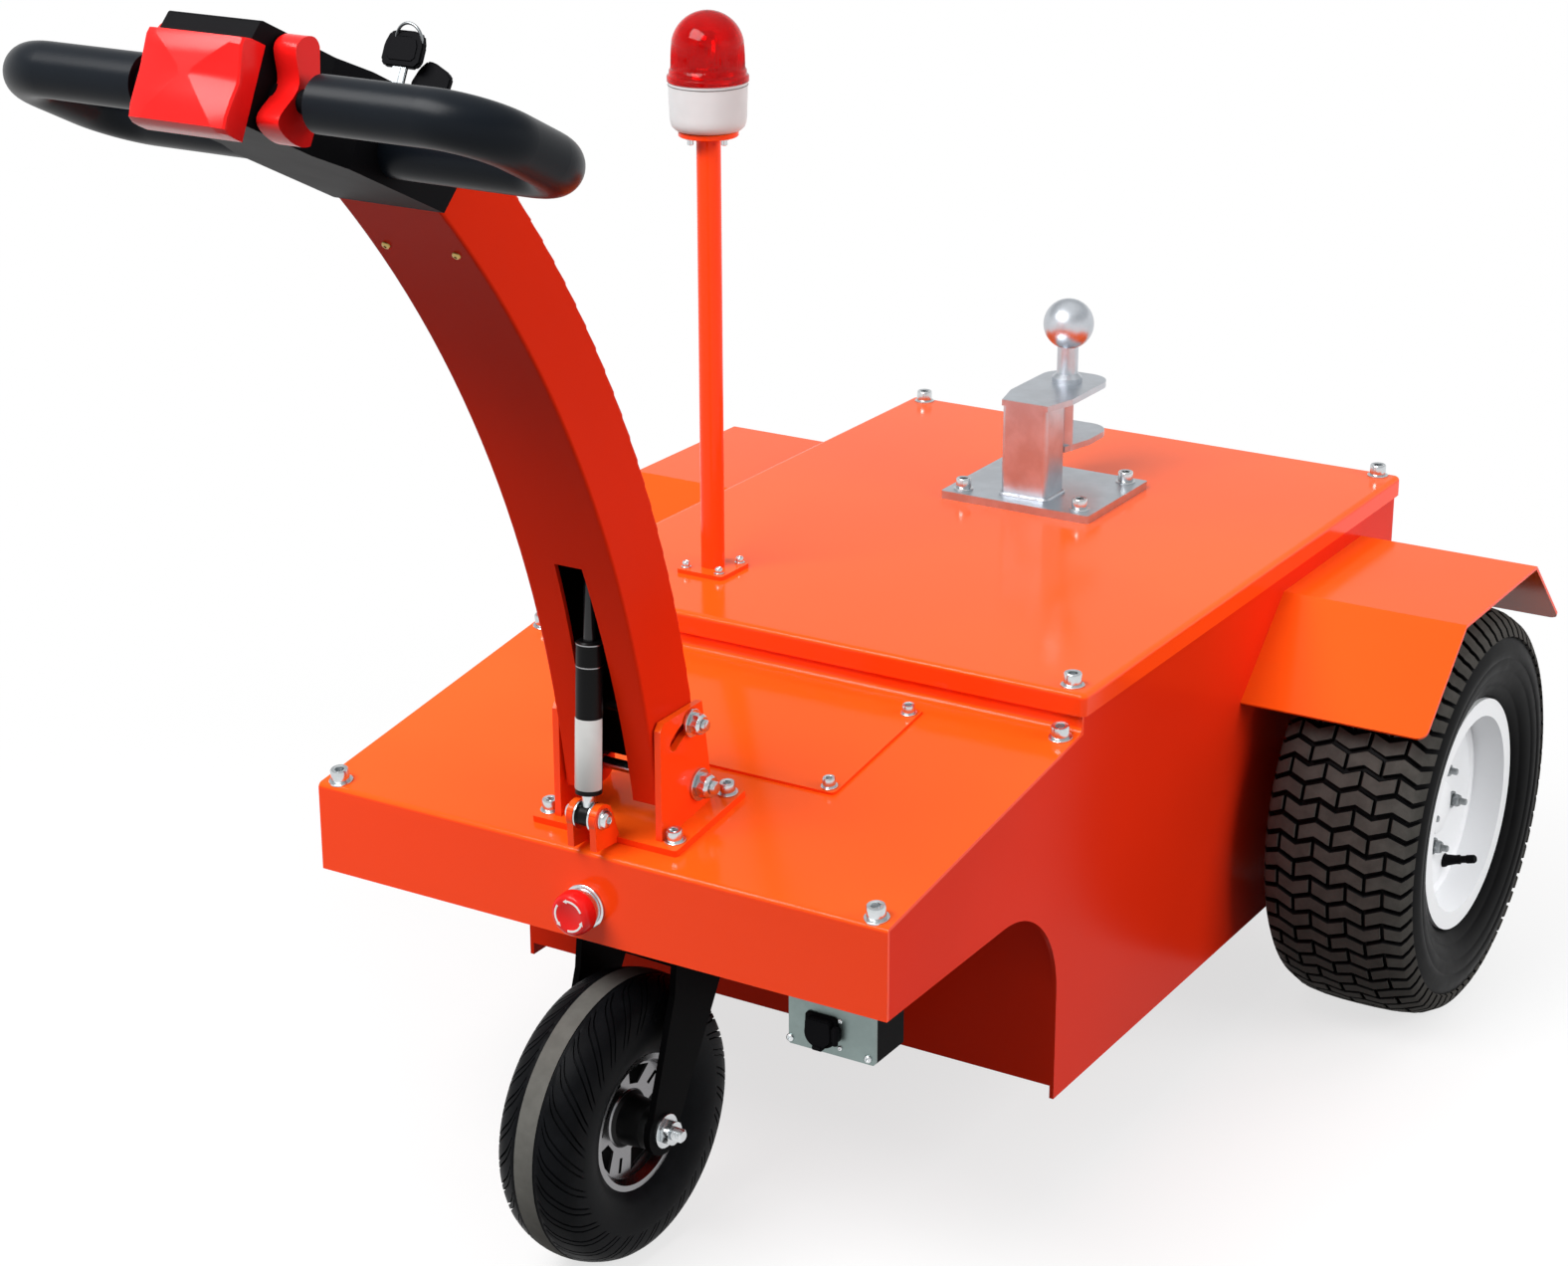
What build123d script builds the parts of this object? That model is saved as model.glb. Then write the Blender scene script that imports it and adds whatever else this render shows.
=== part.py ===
import math
import os

from build123d import *

os.makedirs("parts", exist_ok=True)

# Driving dimensions in mm. Front is -Y, the tug's left is +X, the floor is z = 0.
# Lengths along the tug are counted from the nose face, which stands at nose_y.
nose_y = -310.1

# Drive wheels, whose size sets the heights above the floor
tyre_radius = 203.0
tyre_width = 152.0
rim_radius = 114.0
rim_width = 124.0
rim_seat = 101.0
rim_gauge = 4.0
disc_offset = 30.0
shaft_radius = 15.0
axle_tube_radius = 26.0

# Hull
hull_width = 556.0
side_thickness = 4.0
sheet = 3.0
hull_rear = 1031.0
deck_end = 328.0
deck_slope = 8.4
bulkhead_y = 294.0
arch_radius = 100.0
shelf_thickness = 6.0
half = hull_width / 2
axle_y = hull_rear - 185.0
wheel_gap = 28.0
wheel_x = half + wheel_gap + tyre_width / 2
disc_x = wheel_x + disc_offset
fender_gap = 23.0
fender_top = 2 * tyre_radius + fender_gap
lid_rise = 39.0
lid_top = fender_top + lid_rise
deck_drop = 84.0
nose_top = lid_top - deck_drop
nose_height = 79.0
nose_bottom = nose_top - nose_height
skirt_drop = 101.0
skirt_bottom = tyre_radius - skirt_drop
floor_z = skirt_bottom + 12.0

# Lid and hatch
lid_overhang = 4.0
lid_width = hull_width + 2 * lid_overhang
lid_front = deck_end - lid_overhang
lid_rear = hull_rear + sheet + 5.0
lid_lip = 20.0
lid_edge = 6.0
hatch_width = half - 2.0
hatch_y = deck_end - 96.5
hatch_length = 151.0

# Fenders, shares of the tyre's radius along the tug from the axle
fender_width = wheel_gap + tyre_width + 1.0
fender_front = axle_y - 0.90 * tyre_radius
fender_bend_front = axle_y - 0.448 * tyre_radius
fender_bend_rear = axle_y + 0.502 * tyre_radius
fender_rear = axle_y + 0.911 * tyre_radius
fender_flap_front = fender_top - 0.404 * tyre_radius
fender_flap_rear = fender_top - 0.379 * tyre_radius

# Nose fittings
stop_x = -4.0
stop_z = nose_top - 48.0
stop_radius = 20.0
charge_x = half - 61.5
charge_height = 53.0
charge_width = 79.0

# Castor
castor_headroom = 53.0
castor_radius = (nose_bottom - castor_headroom) / 2
castor_width = 78.0
castor_x = -5.0
castor_y = 40.0
castor_trail = 55.0
castor_turn = -2.5
castor_rim_radius = castor_radius * 10 / 21
castor_spokes = 5
castor_bore = 10.0
leg_inner = 46.0
leg_gauge = 6.0

# Tiller
arm_width = 90.0
arm_depth = 64.0
arm_wall = 4.0
arm_front_radius = 958.0
arm_foot = 7.35
arm_end = 43.3
arm_foot_y = 34.8
pivot_y = 84.0
pivot_z = nose_top + 41.0
arm_foot_z = pivot_z - 3.0
stop_reach = 59.0
stop_angle = 10.7
tilt_range = 25.0
clevis_y = 2.0
clevis_z = nose_top + 32.0
eye_angle = 22.24
eye_depth = 47.0
slot_angle = 20.37
slot_half_low = 21.0
slot_half_top = 13.0
spring_radius = 11.0
spring_rod_radius = 5.0
spring_tube_length = 148.0
base_half_width = 71.0
base_front = 22.0
base_rear = 128.0
base_thickness = 6.0
cheek_gap = 1.5
cheek_gauge = 6.0

# Head
head_tilt = 26.0
console_width = 96.0
nose_width = 76.0
console_front = 210.0
console_top = 66.0
grip_radius = 19.0
grip_front = 183.0
grip_back = 68.5
grip_half_width = 196.0
grip_inner = 72.0
grip_bend = 38.0
grip_level = 25.0
belly_width = 80.0

# Hitch and beacon
hitch_y = hull_rear - 231.0
hitch_length = 134.0
hitch_plate_width = 162.0
hitch_plate = 8.0
post_width = 50.0
post_depth = 40.0
post_y = hitch_y - 28.0
jaw_top = lid_top + 105.0
jaw_low = lid_top + 54.0
jaw_plate = 6.0
jaw_width = 68.0
jaw_front = post_y - post_depth / 2
jaw_rear = jaw_front + 128.0
web_radius = 50.0
web_depth = 9.0
ball_radius = 25.0
ball_y = hitch_y + 43.0
ball_z = lid_top + 164.0
ball_neck = 10.5
beacon_x = 120.0 - half
beacon_y = deck_end + 107.0
beacon_post_radius = 11.0
beacon_post_top = lid_top + 407.0
beacon_top = beacon_post_top + 110.0
beacon_radius = 36.5

slope = math.tan(math.radians(deck_slope))
sheet_drop = sheet / math.cos(math.radians(deck_slope))
lid_under = lid_top - sheet


def along(y):
    return nose_y + y


def deck_z(y):
    return nose_top + y * slope


def pts(*pairs):
    return [(along(y), z) for y, z in pairs]


deck_plane = Plane(origin=(0, along(0), nose_top), x_dir=(1, 0, 0),
                   z_dir=(0, -math.sin(math.radians(deck_slope)), math.cos(math.radians(deck_slope))))
deck_cos = math.cos(math.radians(deck_slope))
arm_centre_y = arm_foot_y - arm_front_radius * math.cos(math.radians(arm_foot))
arm_centre_z = arm_foot_z - arm_front_radius * math.sin(math.radians(arm_foot))


def on_arm(angle, depth=0.0):
    """Point at an angle round the arm's bend, a depth behind its front face."""
    a = math.radians(angle)
    reach = arm_front_radius + depth
    return arm_centre_y + reach * math.cos(a), arm_centre_z + reach * math.sin(a)


eye_y, eye_z = on_arm(eye_angle, eye_depth)
head_y, head_z = on_arm(arm_end)
head_c = math.cos(math.radians(head_tilt))
head_s = math.sin(math.radians(head_tilt))
head_side = Plane(origin=(0, along(head_y), head_z), x_dir=(0, -head_c, head_s), z_dir=(-1, 0, 0))
head_flat = Plane(origin=(0, along(head_y), head_z), x_dir=(1, 0, 0), z_dir=(0, -head_s, -head_c))


def strip(gauge, *line):
    """Outline of a bent sheet whose upper face follows the line, with mitred bends."""
    normals = []
    for (y0, z0), (y1, z1) in zip(line, line[1:]):
        size = math.hypot(y1 - y0, z1 - z0)
        normals.append(((z1 - z0) / size, -(y1 - y0) / size))
    under = []
    for i, (y, z) in enumerate(line):
        a, b = normals[max(i - 1, 0)], normals[min(i, len(normals) - 1)]
        k = gauge / (1 + a[0] * b[0] + a[1] * b[1])
        under.append((y + k * (a[0] + b[0]), z + k * (a[1] + b[1])))
    return pts(*line, *reversed(under))


def side_profile():
    with BuildSketch(Plane.YZ) as sk:
        with BuildLine():
            Polyline(*pts((sheet, nose_bottom), (sheet, deck_z(sheet) - sheet_drop),
                          (deck_end + sheet, deck_z(deck_end + sheet) - sheet_drop),
                          (deck_end + sheet, lid_under), (hull_rear, lid_under),
                          (hull_rear, skirt_bottom), (bulkhead_y, skirt_bottom),
                          (bulkhead_y, nose_bottom)), close=True)
        make_face()
        corner = sk.vertices().sort_by_distance((along(bulkhead_y), nose_bottom))[0]
        fillet(corner, arch_radius)
        with Locations((along(axle_y), tyre_radius)):
            Circle(axle_tube_radius, mode=Mode.SUBTRACT)
    return sk.sketch


def save(part, name):
    part.label = name
    export_step(part, "parts/" + name + ".step")


# Hull panels
with BuildPart() as side_plate_left:
    extrude(side_profile(), amount=side_thickness)
side_plate_left.part.position += (half - side_thickness, 0, 0)
save(side_plate_left.part, "side_plate_left")

with BuildPart() as side_plate_right:
    extrude(side_profile(), amount=side_thickness)
side_plate_right.part.position += (-half, 0, 0)
save(side_plate_right.part, "side_plate_right")

with BuildPart() as deck_panel:
    with BuildSketch(Plane.YZ) as deck_sk:
        with BuildLine():
            Polyline(*pts((0, nose_bottom), (0, nose_top), (deck_end, deck_z(deck_end)), (deck_end, lid_under),
                          (deck_end + sheet, lid_under),
                          (deck_end + sheet, deck_z(deck_end + sheet) - sheet_drop),
                          (sheet, deck_z(sheet) - sheet_drop), (sheet, nose_bottom)), close=True)
        make_face()
        fillet(deck_sk.vertices().sort_by_distance((along(0), nose_top))[0], 5)
        fillet(deck_sk.vertices().sort_by_distance((along(deck_end), deck_z(deck_end)))[0], 8)
    extrude(amount=half, both=True)
save(deck_panel.part, "deck_panel")

with BuildPart() as bulkhead:
    with BuildSketch(Plane.YZ):
        with BuildLine():
            Polyline(*pts((bulkhead_y, floor_z), (bulkhead_y + sheet, floor_z),
                          (bulkhead_y + sheet, deck_z(bulkhead_y + sheet) - sheet_drop),
                          (bulkhead_y, deck_z(bulkhead_y) - sheet_drop)), close=True)
        make_face()
    extrude(amount=half - side_thickness, both=True)
save(bulkhead.part, "bulkhead")

with BuildPart() as floor_pan:
    with Locations((0, along((bulkhead_y + sheet + hull_rear) / 2), floor_z + sheet / 2)):
        Box(hull_width - 2 * side_thickness, hull_rear - bulkhead_y - sheet, sheet)
save(floor_pan.part, "floor_pan")

with BuildPart() as rear_panel:
    with Locations((0, along(hull_rear + sheet / 2), (skirt_bottom + lid_under) / 2)):
        Box(hull_width, sheet, lid_under - skirt_bottom)
save(rear_panel.part, "rear_panel")

with BuildPart() as castor_shelf:
    with Locations((0, along((sheet + bulkhead_y) / 2), nose_bottom + shelf_thickness / 2)):
        Box(hull_width - 2 * side_thickness, bulkhead_y - sheet, shelf_thickness)
save(castor_shelf.part, "castor_shelf")

with BuildPart() as lid:
    lid_mid = along((lid_front + lid_rear) / 2)
    lid_length = lid_rear - lid_front
    with Locations((0, lid_mid, lid_top - lid_lip / 2)):
        Box(lid_width, lid_length, lid_lip)
    fillet(lid.edges().filter_by(Axis.Z), lid_edge)
    fillet(lid.faces().sort_by(Axis.Z)[-1].edges(), lid_edge - 1)
    with Locations((0, lid_mid, lid_top - sheet - lid_lip / 2)):
        Box(lid_width - 2 * sheet, lid_length - 2 * sheet, lid_lip, mode=Mode.SUBTRACT)
save(lid.part, "lid")

with BuildPart() as deck_hatch:
    with BuildSketch(deck_plane):
        with Locations((0, hatch_y / deck_cos)):
            RectangleRounded(hatch_width, hatch_length / deck_cos, 4)
    extrude(amount=2.5)
save(deck_hatch.part, "deck_hatch")


def fender(side):
    with BuildPart() as f:
        with BuildSketch(Plane.YZ.offset(side * half)) as fsk:
            with BuildLine():
                Polyline(*strip(sheet, (fender_front, fender_flap_front), (fender_bend_front, fender_top),
                                (fender_bend_rear, fender_top), (fender_rear, fender_flap_rear)), close=True)
            make_face()
        extrude(amount=side * fender_width)
        outer = f.edges().filter_by(lambda e: abs(e.center().X) > half + fender_width - 0.1)
        fillet(outer.filter_by(lambda e: e.length < 1.2 * sheet), 10)
    return f.part


save(fender(1), "fender_left")
save(fender(-1), "fender_right")

# Hitch
with BuildPart() as hitch_base:
    with Locations((0, along(hitch_y), lid_top + hitch_plate / 2)):
        Box(hitch_plate_width, hitch_length, hitch_plate)
    fillet(hitch_base.edges().filter_by(Axis.Z), 3)
save(hitch_base.part, "hitch_base")

plate_top = lid_top + hitch_plate
with BuildPart() as hitch_post:
    with BuildSketch(Plane.XY.offset(plate_top)):
        with Locations((0, along(post_y))):
            RectangleRounded(post_width, post_depth, 5)
            RectangleRounded(post_width - 8, post_depth - 8, 2, mode=Mode.SUBTRACT)
    extrude(amount=jaw_top - jaw_plate - plate_top)
save(hitch_post.part, "hitch_post")

post_rear = post_y + post_depth / 2
web_y = post_rear + web_radius
with BuildPart() as hitch_jaw:
    for level, start, front_half in ((jaw_top, jaw_front, post_width / 2), (jaw_low, post_rear, post_width / 2)):
        with BuildSketch(Plane.XY.offset(level - jaw_plate)) as jsk:
            with BuildLine():
                Polyline((-front_half, along(start)), (-jaw_width / 2, along(start + 36)),
                         (-jaw_width / 2, along(jaw_rear)), (jaw_width / 2, along(jaw_rear)),
                         (jaw_width / 2, along(start + 36)), (front_half, along(start)), close=True)
            make_face()
            fillet(jsk.vertices().group_by(Axis.Y)[-1], 24)
        extrude(amount=jaw_plate)
    with BuildSketch(Plane.XY.offset(jaw_low - jaw_plate)):
        with Locations((0, along(web_y))):
            Circle(web_radius)
            Circle(web_radius - 6, mode=Mode.SUBTRACT)
        with Locations((0, along(web_y + web_depth))):
            Rectangle(2 * web_radius, 2 * web_radius, mode=Mode.SUBTRACT)
    extrude(amount=jaw_top - jaw_low)
save(hitch_jaw.part, "hitch_jaw")

with BuildPart() as tow_ball:
    with BuildSketch(Plane.YZ):
        with BuildLine():
            neck_z = ball_z - math.sqrt(ball_radius ** 2 - ball_neck ** 2)
            Polyline((0, jaw_top), (15, jaw_top), (15, jaw_top + 5), (ball_neck, jaw_top + 9), (ball_neck, neck_z))
            CenterArc((0, ball_z), ball_radius, math.degrees(math.atan2(neck_z - ball_z, ball_neck)),
                      90 - math.degrees(math.atan2(neck_z - ball_z, ball_neck)))
            Line((0, ball_z + ball_radius), (0, jaw_top))
        make_face()
    revolve(axis=Axis.Z)
tow_ball.part.position += (0, along(ball_y), 0)
save(tow_ball.part, "tow_ball")

# Beacon
with BuildPart() as beacon_post:
    with Locations((beacon_x, along(beacon_y), lid_top + 2)):
        Box(50, 50, 4)
    fillet(beacon_post.edges().filter_by(Axis.Z), 4)
    with BuildSketch(Plane.XY.offset(lid_top + 4)):
        with Locations((beacon_x, along(beacon_y))):
            Circle(beacon_post_radius)
            Circle(beacon_post_radius - 2, mode=Mode.SUBTRACT)
    extrude(amount=beacon_post_top - lid_top - 4)
save(beacon_post.part, "beacon_post")

with BuildPart() as beacon_base:
    with BuildSketch(Plane.XZ):
        with BuildLine():
            Polyline((0, beacon_post_top), (27, beacon_post_top), (29, beacon_post_top + 8),
                     (beacon_radius - 3, beacon_post_top + 11), (beacon_radius - 1, beacon_post_top + 48),
                     (0, beacon_post_top + 48), close=True)
        make_face()
    revolve(axis=Axis.Z)
beacon_base.part.position += (beacon_x, along(beacon_y), 0)
save(beacon_base.part, "beacon_base")

lens_z = beacon_post_top + 48
dome_radius = beacon_radius - 4
dome_start = math.radians(15)
with BuildPart() as beacon_lens:
    with BuildSketch(Plane.XZ):
        with BuildLine():
            Polyline((0, lens_z), (beacon_radius, lens_z), (beacon_radius, lens_z + 5),
                     (beacon_radius - 3, lens_z + 6), (dome_radius * math.cos(dome_start),
                                                       beacon_top - dome_radius * (1 - math.sin(dome_start))))
            CenterArc((0, beacon_top - dome_radius), dome_radius, math.degrees(dome_start),
                      90 - math.degrees(dome_start))
            Line((0, beacon_top), (0, lens_z))
        make_face()
    revolve(axis=Axis.Z)
beacon_lens.part.position += (beacon_x, along(beacon_y), 0)
save(beacon_lens.part, "beacon_lens")

# Stop button on the nose
with BuildPart() as stop_collar:
    with BuildSketch(Plane.XZ.offset(-along(0))):
        with Locations((stop_x, stop_z)):
            Circle(0.8 * stop_radius)
    extrude(amount=10)
save(stop_collar.part, "stop_collar")

with BuildPart() as stop_button:
    with BuildSketch(Plane.XZ.offset(-along(-10))):
        with Locations((stop_x, stop_z)):
            Circle(stop_radius)
    extrude(amount=19, taper=6)
    fillet(stop_button.faces().sort_by(Axis.Y)[0].edges(), 5)
save(stop_button.part, "stop_button")

# Charging socket under the nose
charge_z = nose_bottom - charge_height / 2
with BuildPart() as charge_box:
    with Locations((charge_x, along(46), charge_z)):
        Box(charge_width - 2, 44, charge_height)
save(charge_box.part, "charge_box")

with BuildPart() as charge_plate:
    with Locations((charge_x, along(22), charge_z)):
        Box(charge_width, 4, charge_height)
    fillet(charge_plate.edges().filter_by(Axis.Y), 2)
save(charge_plate.part, "charge_plate")

with BuildPart() as charge_socket:
    with BuildSketch(Plane.XZ.offset(-along(20))):
        with Locations((charge_x - 4.5, charge_z - 6.5)):
            Circle(15)
        with Locations((charge_x - 4.5, charge_z + 1.5)):
            Rectangle(30, 16)
    extrude(amount=7)
    fillet(charge_socket.faces().sort_by(Axis.Y)[0].edges(), 2)
save(charge_socket.part, "charge_socket")

# Drive axle, motor and battery
with BuildPart() as drive_axle:
    with BuildSketch(Plane.YZ):
        with Locations((along(axle_y), tyre_radius)):
            Circle(axle_tube_radius)
    extrude(amount=half + 10, both=True)
    with BuildSketch(Plane.YZ):
        with Locations((along(axle_y), tyre_radius)):
            Circle(shaft_radius)
    extrude(amount=disc_x - 16, both=True)
    with Locations((0, along(axle_y), tyre_radius)):
        Box(150, 150, 130)
    fillet(drive_axle.edges().filter_by(Axis.X).filter_by(GeomType.LINE), 20)
save(drive_axle.part, "drive_axle")

with BuildPart() as motor:
    with BuildSketch(Plane.XZ.offset(-along(axle_y - 75))):
        with Locations((0, tyre_radius + 5)):
            Circle(55)
    extrude(amount=70)
save(motor.part, "motor")

battery_front = bulkhead_y + 46
battery_rear = axle_y - 206
battery_height = 260.0
with BuildPart() as battery:
    with Locations((0, along((battery_front + battery_rear) / 2), floor_z + sheet + battery_height / 2)):
        Box(hull_width - 156, battery_rear - battery_front, battery_height)
    fillet(battery.edges().filter_by(Axis.Z), 10)
save(battery.part, "battery")


# Drive wheels, turned about the axle
def rim():
    inner = wheel_x - rim_width / 2
    outer = wheel_x + rim_width / 2
    bore = rim_seat - rim_gauge
    with BuildPart() as r:
        with BuildSketch(Plane.XY):
            with BuildLine():
                Polyline((inner, rim_radius), (inner + 5, rim_radius), (inner + 5, rim_seat), (outer - 5, rim_seat),
                         (outer - 5, rim_radius), (outer, rim_radius), (outer, bore), (disc_x, bore),
                         (disc_x, 24), (disc_x + 4, 22), (disc_x + 4, 0), (disc_x - 12, 0),
                         (disc_x - 12, shaft_radius + 1),
                         (disc_x - 60, shaft_radius + 1), (disc_x - 60, 34), (disc_x - 14, 34), (disc_x - 10, 52),
                         (disc_x - 5, 52), (disc_x - 5, bore), (inner, bore), close=True)
            make_face()
        revolve(axis=Axis.X)
    return r.part


def tyre():
    with BuildPart() as t:
        a = rim_width / 2 - 5
        b = tyre_width / 2
        wall = tyre_radius - rim_radius
        low, high, shoulder = rim_radius + 0.35 * wall, rim_radius + 0.63 * wall, tyre_radius - 8
        with BuildSketch(Plane.XY):
            with BuildLine():
                Polyline((wheel_x + b - 2, low), (wheel_x + a + 4, rim_radius + 4), (wheel_x + a, rim_radius),
                         (wheel_x + a, rim_seat), (wheel_x - a, rim_seat), (wheel_x - a, rim_radius),
                         (wheel_x - a - 4, rim_radius + 4), (wheel_x - b + 2, low))
                ThreePointArc((wheel_x - b + 2, low), (wheel_x - b + 1, high), (wheel_x - b + 13, shoulder))
                ThreePointArc((wheel_x - b + 13, shoulder), (wheel_x, tyre_radius), (wheel_x + b - 13, shoulder))
                ThreePointArc((wheel_x + b - 13, shoulder), (wheel_x + b - 1, high), (wheel_x + b - 2, low))
            make_face()
        revolve(axis=Axis.X)
    return t.part


with BuildPart() as rim_left:
    add(rim())
rim_left.part.position += (0, along(axle_y), tyre_radius)
save(rim_left.part, "rim_left")

with BuildPart() as rim_right:
    add(mirror(rim(), Plane.YZ))
rim_right.part.position += (0, along(axle_y), tyre_radius)
save(rim_right.part, "rim_right")

with BuildPart() as tyre_left:
    add(tyre())
tyre_left.part.position += (0, along(axle_y), tyre_radius)
save(tyre_left.part, "tyre_left")

with BuildPart() as tyre_right:
    add(mirror(tyre(), Plane.YZ))
tyre_right.part.position += (0, along(axle_y), tyre_radius)
save(tyre_right.part, "tyre_right")

# Castor, at rest turned a little about its swivel
swivel_y = castor_y + castor_trail
swivel_axis = Axis((castor_x, along(swivel_y), 0), (0, 0, 1))


def swivelled(part):
    return part.moved(Location((castor_x, 0, 0))).rotate(swivel_axis, castor_turn)


with BuildPart() as castor_plate:
    with Locations((castor_x, along(swivel_y), nose_bottom - 4)):
        Box(110, 110, 8)
    fillet(castor_plate.edges().filter_by(Axis.Z), 8)
    with BuildSketch(Plane.XY.offset(nose_bottom - 8)):
        with Locations((castor_x, along(swivel_y))):
            Circle(40)
    extrude(amount=-10, taper=10)
save(castor_plate.part, "castor_plate")

crown_top = nose_bottom - 18.5
with BuildPart() as castor_fork:
    with BuildSketch(Plane.XY.offset(crown_top)):
        with Locations((0, along(swivel_y))):
            Circle(42)
    extrude(amount=-14)
    with BuildSketch(Plane.XY.offset(crown_top - 8)):
        with Locations((0, along(swivel_y + 2))):
            RectangleRounded(2 * (leg_inner + leg_gauge), 76, 8)
    extrude(amount=-10)
    for side in (-1, 1):
        with BuildSketch(Plane.YZ.offset(side * leg_inner)) as leg:
            with BuildLine():
                Polyline(*pts((swivel_y - 34, crown_top - 10), (swivel_y + 38, crown_top - 10),
                              (swivel_y + 32, crown_top - 44), (castor_y + 20, castor_radius - 2),
                              (castor_y, castor_radius - 20), (castor_y - 19, castor_radius + 6),
                              (swivel_y - 38, crown_top - 44)), close=True)
            make_face()
            with Locations((along(castor_y), castor_radius)):
                Circle(22)
                Circle(castor_bore, mode=Mode.SUBTRACT)
        extrude(amount=side * leg_gauge)
save(swivelled(castor_fork.part), "castor_fork")

with BuildPart() as castor_axle:
    with BuildSketch(Plane.YZ):
        with Locations((along(castor_y), castor_radius)):
            Circle(castor_bore)
    extrude(amount=leg_inner + leg_gauge, both=True)
    for side in (-1, 1):
        with BuildSketch(Plane.YZ.offset(side * (leg_inner + leg_gauge))):
            with Locations((along(castor_y), castor_radius)):
                RegularPolygon(14, 6)
        extrude(amount=side * 11)
save(swivelled(castor_axle.part), "castor_axle")

lip = castor_rim_radius
with BuildPart() as castor_rim:
    with BuildSketch(Plane.XY):
        with BuildLine():
            w = 27.0
            Polyline((-w, lip), (w, lip), (w, lip - 5), (20, lip - 9), (15, lip - 9), (13, 26), (17, 22),
                     (38, 20), (38, castor_bore + 0.5), (-38, castor_bore + 0.5), (-38, 20), (-17, 22),
                     (-13, 26), (4, lip - 9), (-20, lip - 9), (-w, lip - 5), close=True)
        make_face()
    revolve(axis=Axis.X)
    with BuildSketch(Plane.YZ):
        for k in range(castor_spokes):
            turn = 360 / castor_spokes * k
            with Locations(Location((0, 0, 0), (0, 0, turn))):
                Polygon((lip / 2, -6), (lip - 13, -15), (lip - 13, 15), (lip / 2, 6), align=None)
            with Locations(Location((0, 0, 0), (0, 0, turn + 180 / castor_spokes))):
                Polygon((lip / 2 + 5, -2), (lip - 12, -2), (lip - 12, 2), (lip / 2 + 5, 2), align=None)
    extrude(amount=40, both=True, mode=Mode.SUBTRACT)
castor_rim.part.position += (0, along(castor_y), castor_radius)
save(swivelled(castor_rim.part), "castor_rim")

with BuildPart() as castor_tyre:
    with BuildSketch(Plane.XY):
        with BuildLine():
            cw = castor_width / 2
            low, high, shoulder = castor_radius - 38, castor_radius - 18, castor_radius - 8
            Polyline((cw, low), (31, lip + 4), (27, lip), (-27, lip), (-31, lip + 4), (-cw, low))
            ThreePointArc((-cw, low), (-cw + 2, high), (-cw + 9, shoulder))
            ThreePointArc((-cw + 9, shoulder), (0, castor_radius), (cw - 9, shoulder))
            ThreePointArc((cw - 9, shoulder), (cw - 2, high), (cw, low))
        make_face()
    revolve(axis=Axis.X)
castor_tyre.part.position += (0, along(castor_y), castor_radius)
save(swivelled(castor_tyre.part), "castor_tyre")

# Tiller bracket, bolted to the deck
arm_half = arm_width / 2
cheek_in = arm_half + cheek_gap
with BuildPart() as tiller_bracket:
    with BuildSketch(deck_plane):
        with Locations((0, (base_front + base_rear) / 2 / deck_cos)):
            RectangleRounded(2 * base_half_width, (base_rear - base_front) / deck_cos, 3)
    extrude(amount=base_thickness)
    for side in (-1, 1):
        with BuildSketch(Plane.YZ.offset(side * cheek_in)) as cheek:
            with BuildLine():
                front, rear = base_front + 7, base_rear - 27
                Polyline(*pts((front, deck_z(front) + 3), (front, pivot_z + 64), (front + 5, pivot_z + 70),
                              (rear - 11, pivot_z + 71), (rear, pivot_z + 7), (rear, deck_z(rear) + 3)), close=True)
            make_face()
            with Locations((along(pivot_y), pivot_z)):
                Circle(6.3, mode=Mode.SUBTRACT)
            with BuildLine(mode=Mode.PRIVATE) as stop_arc:
                CenterArc((along(pivot_y), pivot_z), stop_reach, 89 + stop_angle, tilt_range + 2)
            SlotArc(stop_arc.edges()[0], 12, mode=Mode.SUBTRACT)
        extrude(amount=side * cheek_gauge)
        with BuildSketch(Plane.YZ.offset(side * 8.0)):
            with BuildLine():
                Polyline(*pts((clevis_y - 10, deck_z(clevis_y) + 6), (base_front + 2, deck_z(base_front) + 1),
                              (base_front + 2, deck_z(base_front) + 8), (clevis_y + 11, clevis_z + 8),
                              (clevis_y - 11, clevis_z + 6)), close=True)
            make_face()
            with Locations((along(clevis_y), clevis_z)):
                Circle(12)
                Circle(5.2, mode=Mode.SUBTRACT)
        extrude(amount=side * 6)
save(tiller_bracket.part, "tiller_bracket")

with BuildPart() as pivot_bolt:
    with BuildSketch(Plane.YZ):
        with Locations((along(pivot_y), pivot_z)):
            Circle(6)
    extrude(amount=cheek_in + cheek_gauge, both=True)
    for side in (-1, 1):
        with BuildSketch(Plane.YZ.offset(side * (cheek_in + cheek_gauge))):
            with Locations((along(pivot_y), pivot_z)):
                Circle(13)
        extrude(amount=side * 3)
        with BuildSketch(Plane.YZ.offset(side * (cheek_in + cheek_gauge + 3))):
            with Locations((along(pivot_y), pivot_z)):
                RegularPolygon(11, 6)
        extrude(amount=side * 10)
save(pivot_bolt.part, "pivot_bolt")

with BuildPart() as clevis_pin:
    with BuildSketch(Plane.YZ):
        with Locations((along(clevis_y), clevis_z)):
            Circle(5)
    extrude(amount=14.2, both=True)
    for side in (-1, 1):
        with BuildSketch(Plane.YZ.offset(side * 14.2)):
            with Locations((along(clevis_y), clevis_z)):
                Circle(8)
        extrude(amount=side * 5)
save(clevis_pin.part, "clevis_pin")

# Tiller arm, a bent box open at the front for the gas spring
arm_mid_radius = arm_front_radius + arm_depth / 2
arm_axis = Axis((0, along(arm_centre_y), arm_centre_z), (1, 0, 0))


def arm_section(angle):
    a = math.radians(angle)
    return Plane(origin=arm_axis.position, x_dir=(1, 0, 0), z_dir=(0, -math.sin(a), math.cos(a)))


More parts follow.
